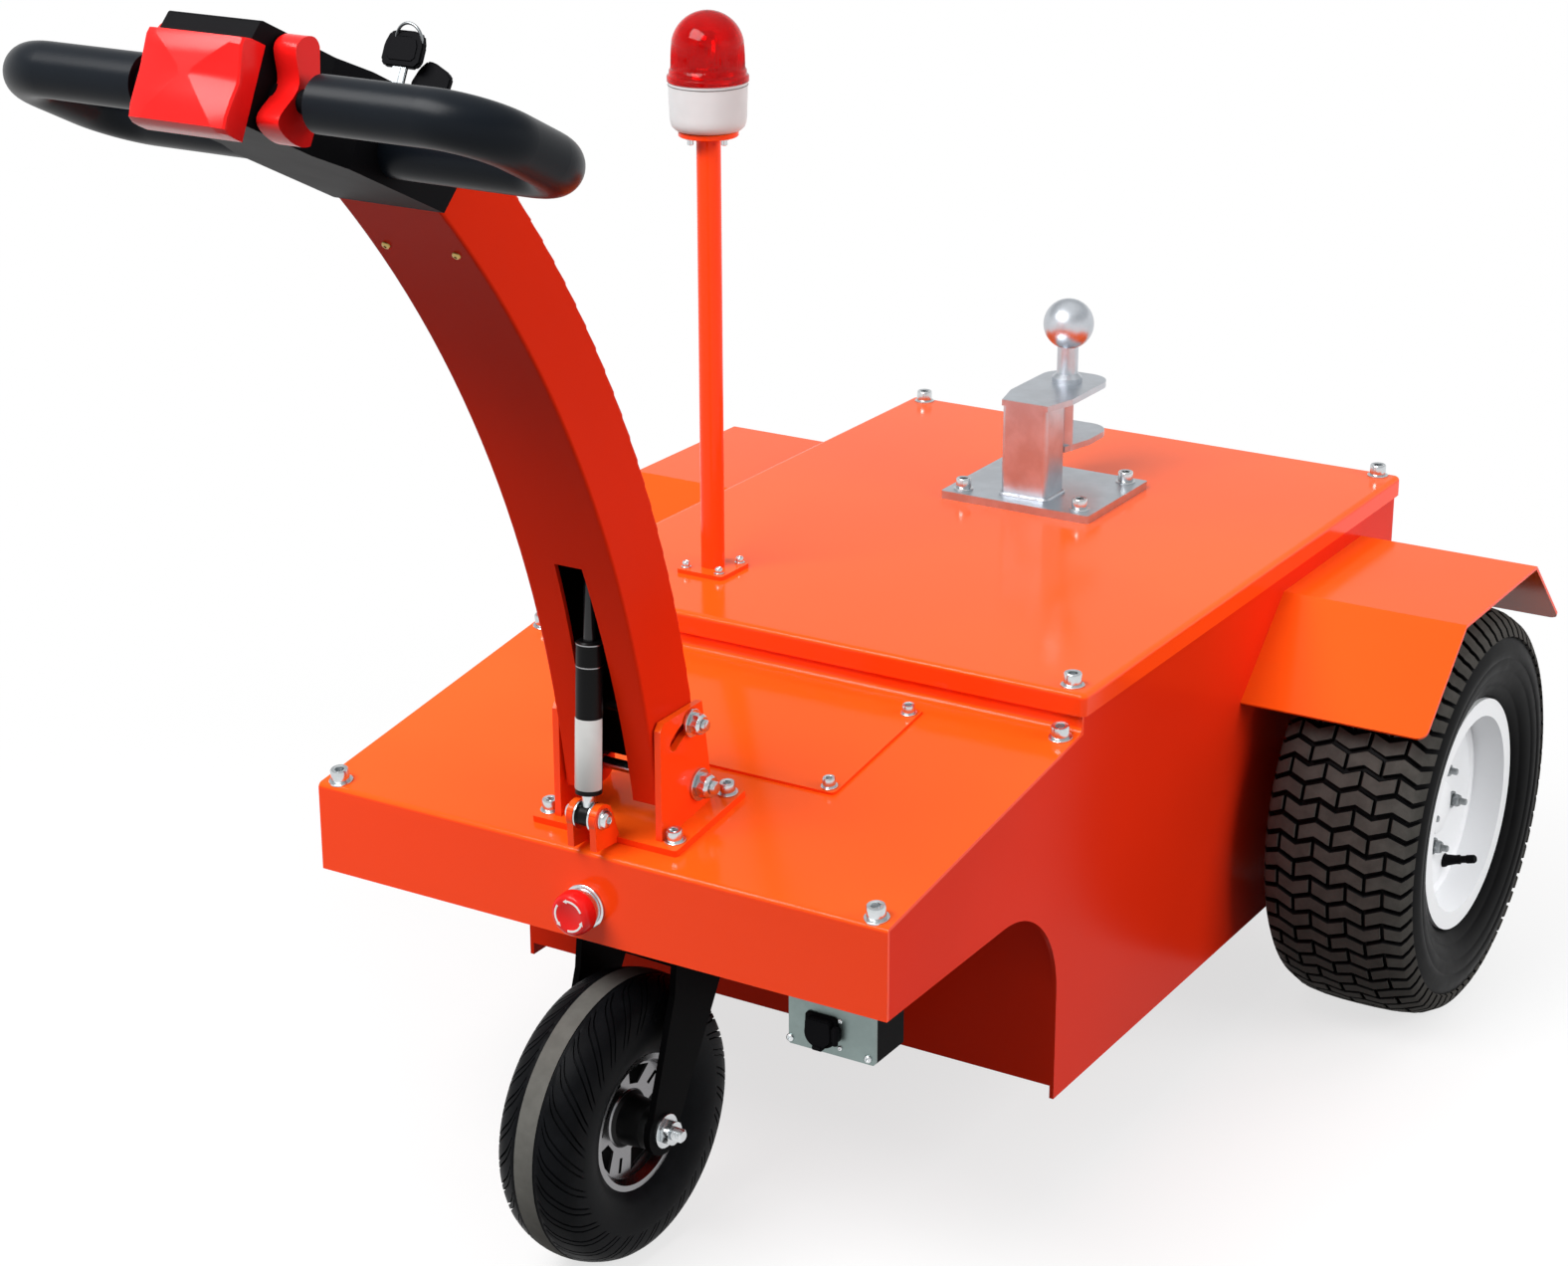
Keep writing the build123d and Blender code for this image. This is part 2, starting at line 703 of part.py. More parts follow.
slot_front = on_arm(arm_end)[0]
slot_back = on_arm(slot_angle, arm_depth - arm_wall)[0] + 3
stop_y = pivot_y - stop_reach * math.sin(math.radians(stop_angle))
stop_z = pivot_z + stop_reach * math.cos(math.radians(stop_angle))
with BuildPart() as tiller_arm:
    with BuildSketch(arm_section(arm_foot)):
        with Locations((0, arm_mid_radius)):
            RectangleRounded(arm_width, arm_depth, 2.5)
    revolve(axis=arm_axis, revolution_arc=arm_end - arm_foot)
    with BuildSketch(arm_section(arm_foot - 3)):
        with Locations((0, arm_mid_radius)):
            Rectangle(arm_width - 2 * arm_wall, arm_depth - 2 * arm_wall)
    revolve(axis=arm_axis, revolution_arc=arm_end - arm_foot + 6, mode=Mode.SUBTRACT)
    slot_top = on_arm(slot_angle)[1]
    with BuildSketch(Plane.XZ.offset(-along(slot_front))) as slot:
        with BuildLine():
            Polyline((-slot_half_low, nose_top), (slot_half_low, nose_top), (slot_half_low, pivot_z + 5),
                     (slot_half_top, slot_top), (-slot_half_top, slot_top), (-slot_half_low, pivot_z + 5), close=True)
        make_face()
    extrude(amount=slot_front - slot_back, mode=Mode.SUBTRACT)
    for side in (-1, 1):
        with BuildSketch(Plane.YZ.offset(side * (arm_half - arm_wall + 0.5))):
            with Locations((along(pivot_y), pivot_z)):
                Circle(17)
        extrude(amount=side * (arm_wall - 1))
    with BuildSketch(Plane.YZ):
        with Locations((along(pivot_y), pivot_z)):
            Circle(6.4)
        with Locations((along(stop_y), stop_z)):
            Circle(5)
    extrude(amount=arm_half + 1, both=True, mode=Mode.SUBTRACT)
save(tiller_arm.part, "tiller_arm")

with BuildPart() as stop_bolt:
    with BuildSketch(Plane.YZ):
        with Locations((along(stop_y), stop_z)):
            Circle(5)
    extrude(amount=cheek_in + cheek_gauge + 1, both=True)
    for side in (-1, 1):
        with BuildSketch(Plane.YZ.offset(side * (cheek_in + cheek_gauge + 1))):
            with Locations((along(stop_y), stop_z)):
                RegularPolygon(10, 6)
        extrude(amount=side * 9)
save(stop_bolt.part, "stop_bolt")

with BuildPart() as spring_cross_pin:
    with BuildSketch(Plane.YZ):
        with Locations((along(eye_y), eye_z)):
            Circle(4)
    extrude(amount=arm_half - arm_wall, both=True)
save(spring_cross_pin.part, "spring_cross_pin")

# Gas spring between the clevis and the arm
spring_vector = (eye_y - clevis_y, eye_z - clevis_z)
spring_length = math.hypot(*spring_vector)
spring_plane = Plane(origin=(0, along(clevis_y), clevis_z), x_dir=(1, 0, 0),
                     z_dir=(0, spring_vector[0] / spring_length, spring_vector[1] / spring_length))
with BuildPart() as spring_tube:
    with BuildSketch(spring_plane.offset(20)):
        Circle(spring_radius)
    extrude(amount=spring_tube_length - 20)
    chamfer(spring_tube.edges().sort_by(Axis.Z)[-1], 2)
    with BuildSketch(spring_plane):
        Circle(5)
    extrude(amount=22)
    with BuildSketch(Plane.YZ):
        with Locations((along(clevis_y), clevis_z)):
            Circle(9)
    extrude(amount=6, both=True)
    with BuildSketch(Plane.YZ):
        with Locations((along(clevis_y), clevis_z)):
            Circle(5.3)
    extrude(amount=8, both=True, mode=Mode.SUBTRACT)
    with BuildSketch(spring_plane.offset(30)):
        Circle(spring_rod_radius + 0.4)
    extrude(amount=spring_tube_length, mode=Mode.SUBTRACT)
save(spring_tube.part, "spring_tube")

with BuildPart() as spring_rod:
    with BuildSketch(spring_plane.offset(80)):
        Circle(spring_rod_radius)
    extrude(amount=spring_length - 80)
    with BuildSketch(Plane.YZ):
        with Locations((along(eye_y), eye_z)):
            Circle(10)
    extrude(amount=6, both=True)
    with BuildSketch(Plane.YZ):
        with Locations((along(eye_y), eye_z)):
            Circle(6.5)
    extrude(amount=8, both=True, mode=Mode.SUBTRACT)
save(spring_rod.part, "spring_rod")

# Head: console, loop grips and controls
end_lean = math.tan(math.radians(90 - arm_end - head_tilt))
with BuildPart() as console:
    with BuildSketch(head_side):
        with BuildLine():
            Polyline((0, 0), (console_front + 10, 0), (console_front + 12, 52), (console_front + 7, console_top),
                     (-console_top * end_lean, console_top), close=True)
        make_face()
    extrude(amount=console_width / 2, both=True)
    with BuildSketch(head_flat.offset(10)):
        with BuildLine():
            Polyline((-console_width / 2, -90), (console_width / 2, -90), (console_width / 2, 110),
                     (nose_width / 2, 138), (nose_width / 2, console_front + 20),
                     (-nose_width / 2, console_front + 20), (-nose_width / 2, 138), (-console_width / 2, 110),
                     close=True)
        make_face()
    extrude(amount=-console_top - 20, mode=Mode.INTERSECT)
    fillet(console.edges().filter_by(Axis.X).group_by(Axis.Z)[-1], 3)
save(console.part, "console")


def grip(side):
    e = grip_half_width - grip_bend
    diagonal = e + grip_bend * math.sqrt(0.5)
    bend_in = grip_bend * (1 - math.sqrt(0.5))
    level = head_flat.offset(-grip_level)
    with BuildPart() as g:
        with BuildLine(level) as path:
            Line((side * grip_inner, grip_front), (side * e, grip_front))
            ThreePointArc((side * e, grip_front), (side * diagonal, grip_front - bend_in),
                          (side * grip_half_width, grip_front - grip_bend))
            Line((side * grip_half_width, grip_front - grip_bend), (side * grip_half_width, grip_back + grip_bend))
            ThreePointArc((side * grip_half_width, grip_back + grip_bend), (side * diagonal, grip_back + bend_in),
                          (side * e, grip_back))
            Line((side * e, grip_back), (side * console_width / 2, grip_back))
        start = level.from_local_coords((side * grip_inner, grip_front, 0))
        with BuildSketch(Plane(origin=start, x_dir=level.z_dir, z_dir=(side, 0, 0))):
            Circle(grip_radius)
        sweep(path=path.wires()[0])
    return g.part


save(grip(1), "grip_left")
save(grip(-1), "grip_right")

with BuildPart() as belly_button:
    with BuildSketch(head_side):
        with BuildLine():
            Polyline((console_front, 0), (console_front + 8, -11), (console_front + 20, -9),
                     (console_front + 23, 18), (console_front + 20, 52), (console_front + 12, 52),
                     (console_front + 10, 0), close=True)
        make_face()
    extrude(amount=belly_width / 2, both=True)
save(belly_button.part, "belly_button")


def rocker(side):
    x0 = nose_width / 2
    back = console_front - 44
    with BuildPart() as k:
        with BuildSketch(head_side.offset(-side * (x0 + 2))):
            with BuildLine():
                Spline((back + 14, 62), (back + 23, 66), (back + 36, 56), (back + 25, 34), (back + 36, 6),
                       (back + 20, -2), (back, 1))
                Polyline((back, 1), (back - 1, 26), (back + 14, 62))
            make_face()
        extrude(amount=-side * 18)
        with BuildSketch(head_side.offset(-side * x0)):
            with Locations((back + 10, 30)):
                Circle(8)
        extrude(amount=-side * 3)
    return k.part


save(rocker(1), "rocker_left")
save(rocker(-1), "rocker_right")

with BuildPart() as key_switch:
    with BuildSketch(head_flat.offset(-console_top)):
        with Locations((10, 35)):
            Circle(11)
    extrude(amount=-6)
save(key_switch.part, "key_switch")

with BuildPart() as key:
    key_plane = Plane(origin=head_flat.from_local_coords((10, 33.5, 0)), x_dir=(1, 0, 0), z_dir=(0, -head_c, head_s))
    with BuildSketch(key_plane):
        with Locations((0, console_top + 15)):
            Rectangle(8, 18)
        with Locations((0, console_top + 35)):
            RectangleRounded(34, 26, 6)
    extrude(amount=3)
save(key.part, "key")
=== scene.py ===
"""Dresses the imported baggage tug: paint and metal finishes, turf tread, screws, lamps and controls."""

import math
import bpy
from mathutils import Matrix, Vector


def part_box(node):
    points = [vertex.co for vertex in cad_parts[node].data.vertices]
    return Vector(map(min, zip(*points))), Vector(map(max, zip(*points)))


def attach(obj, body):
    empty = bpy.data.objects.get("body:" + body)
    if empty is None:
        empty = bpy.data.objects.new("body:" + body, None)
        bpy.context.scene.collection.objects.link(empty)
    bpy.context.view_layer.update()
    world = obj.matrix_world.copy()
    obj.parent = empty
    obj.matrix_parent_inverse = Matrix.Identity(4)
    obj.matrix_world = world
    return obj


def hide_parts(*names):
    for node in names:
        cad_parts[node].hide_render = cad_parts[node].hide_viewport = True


bl_info = {
    "name": "Baggage Tug Dressing",
    "version": (1, 1, 0),
    "blender": (4, 5, 0),
    "location": "View3D > Sidebar > Tug",
    "description": "Finishes, tread, screws and controls for a walk-behind baggage tug",
    "category": "Object",
}

import bmesh
import bpy
from bpy.props import FloatProperty, FloatVectorProperty, IntProperty, PointerProperty
from mathutils import Matrix, Vector

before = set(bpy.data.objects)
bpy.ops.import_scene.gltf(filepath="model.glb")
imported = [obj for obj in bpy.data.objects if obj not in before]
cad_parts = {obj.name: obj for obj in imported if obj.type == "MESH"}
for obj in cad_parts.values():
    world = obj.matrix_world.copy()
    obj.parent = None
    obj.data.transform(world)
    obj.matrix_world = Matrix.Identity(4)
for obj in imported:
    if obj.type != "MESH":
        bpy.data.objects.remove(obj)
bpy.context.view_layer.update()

MM = 0.001
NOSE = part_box("deck_panel")[0][1]
LID_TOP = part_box("lid")[1][2]
DECK_SLOPE = math.radians(8.4)
DECK_FRONT = 384 * MM
HEAD_TILT = math.radians(26)
UP = Vector((0, 0, 1))
LEFT = Vector((1, 0, 0))
AHEAD = Vector((0, -1, 0))
ACROSS = Matrix.Rotation(math.pi / 2, 4, "Y")

# Places in millimetres: across, back from the nose face and up
HEAD_Y, HEAD_Z = -218.1, 956.5
ARM_Y, ARM_Z = -915.3, 299.4
CLEVIS_Y, CLEVIS_Z = 2, 416
BEACON_X, BEACON_Y = -158, 435
CASTOR_HUB = (-7.4, 40.05, 126)
CASTOR_TURN = math.radians(-2.5)
# Distance along a drive tyre's outline, in metres, where the tread starts to fall to the wall
SHOULDER = 0.068


def srgb(red, green, blue):
    """Linear colour of an 8-bit screen colour."""
    out = []
    for value in (red, green, blue):
        v = value / 255
        out.append(v / 12.92 if v <= 0.04045 else ((v + 0.055) / 1.055) ** 2.4)
    return tuple(out)


def at(x, y, z):
    """Frame point from millimetres across, back from the nose face and up."""
    return Vector((x * MM, NOSE + y * MM, z * MM))


def on_deck(x, y, above=0.0):
    """Point on the sloping deck, and its normal."""
    normal = Vector((0, -math.sin(DECK_SLOPE), math.cos(DECK_SLOPE)))
    point = at(x, y, 0) + Vector((0, 0, DECK_FRONT + y * MM * math.tan(DECK_SLOPE)))
    return point + normal * above * MM, normal


def on_head(x, s, t):
    """Point on the tiller's head: across, forward along its slope and up from it, in millimetres."""
    c, n = math.cos(HEAD_TILT), math.sin(HEAD_TILT)
    return at(x, HEAD_Y - s * c + t * n, HEAD_Z + s * n + t * c)


def centre_of(node):
    low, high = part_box(node)
    return (Vector(low) + Vector(high)) / 2


def clamp(value):
    return max(0.0, min(1.0, value))


def around(count):
    """Angles of equal steps round a full turn."""
    return [math.tau * k / count for k in range(count)]


def arc(radius, degrees):
    return [(radius * math.cos(math.radians(a)), radius * math.sin(math.radians(a))) for a in degrees]


# Settings a user would change


class TugPaint(bpy.types.PropertyGroup):
    # Painted shade: the hull colour is the lighter tone for faces that look up or down; vertical faces of the same
    # paint take the darker, redder front colour below.
    hull: FloatVectorProperty(name="Hull paint", description="Powder coat of the deck, lid and fenders",
                              subtype="COLOR", size=3, min=0, max=1, default=srgb(253, 91, 20))
    # Painted shade: the front colour is the hull paint's darker, redder tone on vertical faces, such as the nose and
    # the beacon's post, and not a coat of its own.
    front: FloatVectorProperty(name="Front paint", description="Powder coat of the nose and the beacon's post",
                               subtype="COLOR", size=3, min=0, max=1, default=srgb(254, 68, 16))
    # Painted shade: the sides colour is a darker, redder copy of the hull paint for the tiller and the hull's sides
    # and inner panels.
    sides: FloatVectorProperty(name="Side paint", description="Powder coat of the tiller and the hull's sides",
                               subtype="COLOR", size=3, min=0, max=1, default=srgb(220, 42, 13))
    hull_roughness: FloatProperty(name="Paint roughness", description="Gloss of the powder coat",
                                  min=0, max=1, default=0.13)
    rim: FloatVectorProperty(name="Rim paint", description="Paint of the drive wheels' rims",
                             subtype="COLOR", size=3, min=0, max=1, default=srgb(244, 245, 247))
    control: FloatVectorProperty(name="Control red", description="Plastic of the stop and drive controls",
                                 subtype="COLOR", size=3, min=0, max=1, default=srgb(232, 26, 24))
    lens: FloatVectorProperty(name="Beacon lens", description="Clear plastic of the beacon's dome",
                              subtype="COLOR", size=3, min=0, max=1, default=srgb(222, 3, 7))


class TugTyres(bpy.types.PropertyGroup):
    lug_depth: FloatProperty(name="Lug depth", description="Height of the turf lugs over the carcass",
                             subtype="DISTANCE", min=0.001, max=0.02, default=0.0058)
    rows: IntProperty(name="Rows", description="Rows of turf lugs around the tyre", min=20, max=120, default=68)
    lug_width: FloatProperty(name="Lug width", description="Width of one zigzag lug across the tread",
                             subtype="DISTANCE", min=0.01, max=0.08, default=0.035)
    castor_fingers: IntProperty(name="Castor fingers", description="Slanted fingers around each castor shoulder",
                                min=10, max=80, default=31)


class TugStage(bpy.types.PropertyGroup):
    floor: FloatVectorProperty(name="Floor", description="Colour of the studio floor and backdrop",
                               subtype="COLOR", size=3, min=0, max=1, default=(0.9, 0.9, 0.9))
    lens: FloatProperty(name="Lens", description="Focal length on a 36 mm wide sensor, in millimetres",
                        min=10, max=300, default=74.03)
    key_light: FloatProperty(name="Key light", description="Power of the large light in front",
                             subtype="POWER", min=0, default=80)


# Shader maths


class Signal:
    """A value socket. Arithmetic on it adds Math nodes to its graph."""

    def __init__(self, graph, socket):
        self.graph = graph
        self.socket = socket

    def _math(self, operation, *values):
        return self.graph.node("ShaderNodeMath", {"operation": operation}, dict(enumerate(values)))

    def __add__(self, other):
        return self._math("ADD", self, other)

    def __sub__(self, other):
        return self._math("SUBTRACT", self, other)

    def __rsub__(self, other):
        return self._math("SUBTRACT", other, self)

    def __mul__(self, other):
        return self._math("MULTIPLY", self, other)

    __rmul__ = __mul__

    def __pow__(self, other):
        return self._math("POWER", self, other)

    def __abs__(self):
        return self._math("ABSOLUTE", self)

    def step(self, low, high):
        """0 below low, 1 above high, smooth between them."""
        return self.graph.node("ShaderNodeMapRange", {"interpolation_type": "SMOOTHSTEP"},
                               {"Value": self, "From Min": low, "From Max": high})


class Graph:
    """A node tree, with one method that adds nodes."""

    def __init__(self, tree):
        self.tree = tree

    def node(self, kind, settings=None, inputs=None, output=0):
        """Adds a node: its settings first, then the values or links of its sockets."""
        made = self.tree.nodes.new(kind)
        for key, value in (settings or {}).items():
            setattr(made, key, value)
        for key, value in (inputs or {}).items():
            self.feed(made.inputs[key], value)
        return Signal(self, made.outputs[output])

    def feed(self, socket, value):
        if isinstance(value, Signal):
            self.tree.links.new(value.socket, socket)
        elif socket.type == "RGBA" and len(value) == 3:
            socket.default_value = (*value, 1)
        else:
            socket.default_value = value

    def split(self, vector):
        """The three parts of a vector."""
        parts = self.tree.nodes.new("ShaderNodeSeparateXYZ")
        self.feed(parts.inputs[0], vector)
        return [Signal(self, out) for out in parts.outputs]

    def mix(self, factor, low, high):
        return self.node("ShaderNodeMix", {"data_type": "RGBA"}, {0: factor, 6: low, 7: high}, output=2)


class Finish(Graph):
    """One material with a Principled shader."""

    def __init__(self, name, **values):
        self.material = bpy.data.materials.new(name)
        self.material.use_nodes = True
        super().__init__(self.material.node_tree)
        self.shader = self.tree.nodes["Principled BSDF"]
        self.set(**values)

    def set(self, **values):
        """Sets Principled sockets: base_color feeds Base Color, and so on."""
        for key, value in values.items():
            words = key.replace("_", " ").title().replace("Ior", "IOR")
            self.feed(self.shader.inputs[words], value)
        return self

    def tones(self, signal, low, high, colour, dark, pale):
        """Two tones of a colour, mixed by a signal."""
        return self.mix(signal.step(low, high), shade(colour, dark), shade(colour, pale))

    def place(self):
        return self.node("ShaderNodeTexCoord", output="Object")

    def grain(self, scale, detail=3.0, roughness=0.55, stretch=None):
        where = self.place()
        if stretch:
            where = self.node("ShaderNodeVectorMath", {"operation": "MULTIPLY"}, {0: where, 1: stretch})
        return self.node("ShaderNodeTexNoise", None,
                         {"Vector": where, "Scale": scale, "Detail": detail, "Roughness": roughness})

    def bump(self, height, distance, strength=1.0):
        """Feeds Normal from a height signal, with the bump's depth in metres."""
        self.set(normal=self.node("ShaderNodeBump", None,
                                  {"Strength": strength, "Distance": distance, "Height": height}))
        return self


def shade(colour, factor):
    return tuple(min(1.0, c * factor) for c in colour)


def make_paint(name, colour, roughness, gloss=0.16, inside=None, upright_shade=None):
    """Glossy powder coat: faint orange peel and slow shifts of tone, with painted shade: a darker tone on vertical
    faces and near-black on a masked inside.
    """
    f = Finish(name, specular_ior_level=gloss)
    slow = f.grain(3.0, 2.0)
    tone = f.tones(slow, 0.3, 0.7, colour, 0.95, 1.05)
    # Painted shade: vertical faces take the darker, redder colour, while faces that look up or down keep the lighter
    # one.
    if upright_shade:
        facing = f.split(f.node("ShaderNodeNewGeometry", output="Normal"))[2]
        tone = f.mix(abs(facing).step(0.2, 0.45), upright_shade, tone)
    # Painted shade: near-black where the inside mask is 1, such as within the tiller's arm.
    if inside:
        tone = f.mix(inside(f), tone, srgb(16, 13, 12))
    f.set(base_color=tone, roughness=f.grain(26.0, 4.0) * 0.07 + (roughness - 0.035))
    return f.bump(f.grain(420.0, 2.0), 0.00005, 0.5).material


def make_zinc(name, colour=srgb(200, 205, 211), roughness=0.32):
    """Bright zinc plate with cloudy patches and fine draw marks."""
    f = Finish(name, metallic=1.0)
    cloud = f.grain(38.0, 5.0, 0.62)
    f.set(base_color=f.tones(cloud, 0.35, 0.7, colour, 0.9, 1.05),
          roughness=cloud * 0.16 + (roughness - 0.08))
    return f.bump(f.grain(900.0, 2.0, 0.5, (1, 1, 0.15)), 0.00002, 0.15).material


def make_plastic(name, colour, roughness, gloss=0.22, grain=700.0, depth=0.00004):
    """Moulded plastic with a fine spark texture."""
    f = Finish(name, specular_ior_level=gloss)
    slow = f.grain(14.0, 3.0)
    f.set(base_color=f.tones(slow, 0.3, 0.7, colour, 0.93, 1.07),
          roughness=slow * 0.1 + (roughness - 0.05))
    return f.bump(f.grain(grain, 2.0), depth, 0.5).material


def make_rubber(name, colour, roughness=0.6, patchy=0.25):
    """Tyre rubber with dusty patches."""
    f = Finish(name, specular_ior_level=0.04)
    patch = f.grain(60.0, 4.0, 0.6)
    f.set(base_color=f.tones(patch, 0.3, 0.75, colour, 1 - patchy, 1 + patchy),
          roughness=patch * 0.2 + (roughness - 0.1))
    return f.bump(f.grain(1100.0, 2.0), 0.00005, 0.6).material


def make_castor_alloy(name):
    """Turned alloy on the lip and the spokes' faces, black enamel on the hub and inside."""
    f = Finish(name, specular_ior_level=0.2)
    x, y, z = f.split(f.place())
    hub, turn = at(*CASTOR_HUB), CASTOR_TURN
    across = abs((x - hub.x) * math.cos(turn) + (y - hub.y) * math.sin(turn))
    level = (y - hub.y) * math.cos(turn) - (x - hub.x) * math.sin(turn)
    reach = (level ** 2 + (z - hub.z) ** 2) ** 0.5
    bright = across.step(0.0118, 0.0124) * reach.step(0.0245, 0.025)
    rings = f.grain(60.0, 4.0, 0.5)
    f.set(base_color=f.mix(bright, srgb(14, 14, 15), srgb(142, 142, 144)), metallic=bright,
          roughness=rings * 0.16 + (0.36 - 0.2 * bright))
    return f.bump(f.grain(900.0, 2.0), 0.00003, 0.4).material


def make_lens(name, colour):
    """Clear coloured plastic, with thicker and thinner places."""
    f = Finish(name, transmission_weight=0.8, ior=1.25, specular_ior_level=0.5)
    slow = f.grain(30.0, 2.0)
    f.set(base_color=f.tones(slow, 0.3, 0.7, colour, 0.9, 1.08),
          roughness=slow * 0.05 + 0.05)
    return f.bump(f.grain(160.0, 2.0), 0.00006, 0.4).material


# Mesh making


def stand(point, normal, spin=0.0):
    """Matrix that stands a piece's own Z on a normal at a point."""
    turn = normal.to_track_quat("Z", "Y").to_matrix().to_4x4()
    return Matrix.Translation(point) @ turn @ Matrix.Rotation(spin, 4, "Z")


def turned(bm, rings, matrix, segments=24):
    """Turns rings of (radius, height) about a matrix's Z. A third entry of "hex" makes a six-sided ring."""
    loops = []
    for ring in rings:
        radius, height = ring[:2]
        if radius < 1e-9:
            loops.append([bm.verts.new(matrix @ Vector((0, 0, height)))])
            continue
        loop = []
        for a in around(segments):
            r = radius
            if len(ring) > 2:
                r = radius * math.cos(math.pi / 6) / math.cos((a + math.pi / 6) % (math.pi / 3) - math.pi / 6)
            loop.append(bm.verts.new(matrix @ Vector((r * math.cos(a), r * math.sin(a), height))))
        loops.append(loop)
    for low, high in zip(loops, loops[1:]):
        for i in range(segments):
            j = (i + 1) % segments
            if len(low) == 1 and len(high) == 1:
                continue
            if len(low) == 1:
                bm.faces.new((low[0], high[j], high[i]))
            elif len(high) == 1:
                bm.faces.new((low[i], low[j], high[0]))
            else:
                bm.faces.new((low[i], low[j], high[j], high[i]))


def turned_mm(bm, rings, matrix, segments=24):
    """turned, with rings in millimetres."""
    turned(bm, [(ring[0] * MM, ring[1] * MM, *ring[2:]) for ring in rings], matrix, segments)


def shaft(bm, matrix, radius, half, segments=20):
    """A round bar centred on a matrix's Z, sizes in millimetres."""
    turned_mm(bm, [(0, -half), (radius, -half), (radius, half), (0, half)], matrix, segments)


def woven(bm, rows, closed_rows=False, closed_columns=False, caps=False):
    """Joins rows of points by faces, and gives back its grid of vertices."""
    verts = [[bm.verts.new(p) for p in row] for row in rows]
    n, m = len(rows), len(rows[0])
    for i in range(n if closed_rows else n - 1):
        a, b = verts[i], verts[(i + 1) % n]
        for j in range(m if closed_columns else m - 1):
            k = (j + 1) % m
            bm.faces.new((a[j], a[k], b[k], b[j]))
    if caps:
        bm.faces.new(verts[0][::-1])
        bm.faces.new(verts[-1])
    return verts


def slab(bm, outline, matrix, low, high, soften=0.0):
    """A plate with an outline in millimetres, between two heights on a matrix's Z, with soft edges."""
    rows = [[matrix @ Vector((x * MM, y * MM, h * MM)) for x, y in outline] for h in (low, high)]
    verts = woven(bm, rows, closed_columns=True, caps=True)
    if soften:
        edges = dict.fromkeys(e for row in verts for v in row for e in v.link_edges)
        bmesh.ops.bevel(bm, geom=list(edges), offset=soften * MM, segments=2, affect="EDGES", clamp_overlap=True)


def hose(bm, points, radius, segments=10, closed=False):
    """A round bar along points."""
    n = len(points)
    rows = []
    side = None
    for i, p in enumerate(points):
        before, after = points[(i - 1) % n], points[(i + 1) % n]
        if not closed:
            before, after = points[max(0, i - 1)], points[min(n - 1, i + 1)]
        run = (after - before).normalized()
        side = side or run.orthogonal()
        side = (side - run * side.dot(run)).normalized()
        other = run.cross(side)
        rows.append([p + (side * math.cos(a) + other * math.sin(a)) * radius
                     for a in around(segments)])
    woven(bm, rows, closed_rows=closed, closed_columns=True, caps=not closed)


def add_object(name, data):
    obj = bpy.data.objects.new(name, data)
    bpy.context.scene.collection.objects.link(obj)
    return obj


def add_mesh(name, bm):
    mesh = bpy.data.meshes.new(name)
    bm.to_mesh(mesh)
    bm.free()
    return mesh


def piece(name, bm, body, materials, smooth=40.0):
    """Ends a mesh: an object that rides on a body, with its finishes."""
    bmesh.ops.recalc_face_normals(bm, faces=bm.faces)
    mesh = add_mesh(name, bm)
    for material in materials if isinstance(materials, tuple) else (materials,):
        mesh.materials.append(material)
    obj = add_object(name, mesh)
    mesh.shade_smooth()
    mesh.set_sharp_from_angle(angle=math.radians(smooth))
    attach(obj, body)
    return obj


def dress(material, *nodes):
    """Gives CAD nodes a finish."""
    for name in nodes:
        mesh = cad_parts[name].data
        mesh.materials.clear()
        mesh.materials.append(material)


def finish_of(name):
    """A finish that an earlier operator made."""
    return bpy.data.materials[name]


def washer(bm, m, radius, thick, hole=0.5):
    turned_mm(bm, [(radius * hole, 0), (radius, 0), (radius, thick - 0.3), (radius - 0.3, thick),
                   (radius * hole, thick), (radius * hole, 0)], m, 28)


def cap_screw(bm, point, normal, radius=6.5, spin=0.3):
    """Socket cap screw on a washer, sizes in millimetres."""
    r = radius
    m = stand(point, normal, spin)
    washer(bm, m, r * 1.3, 1.6)
    h, top = 1.6, 1.6 + r * 1.3
    turned_mm(bm, [(0, h - 0.4), (r * 0.95, h - 0.4), (r, h + 0.7), (r, top - 1), (r - 0.8, top), (r * 0.66, top),
                   (r * 0.58, top - 0.5, "hex"), (r * 0.58, top - r * 0.6, "hex"), (0, top - r * 0.72)], m, 24)


def button_screw(bm, point, normal, radius=3.5, spin=0.0):
    """Low round-headed screw with a hex recess, sizes in millimetres."""
    r = radius
    turned_mm(bm, [(0, -0.2), (r, -0.2), (r, r * 0.18), (r * 0.86, r * 0.46), (r * 0.6, r * 0.6),
                   (r * 0.42, r * 0.62), (r * 0.4, r * 0.6, "hex"), (r * 0.4, r * 0.25, "hex"), (0, r * 0.2)],
              stand(point, normal, spin), 18)


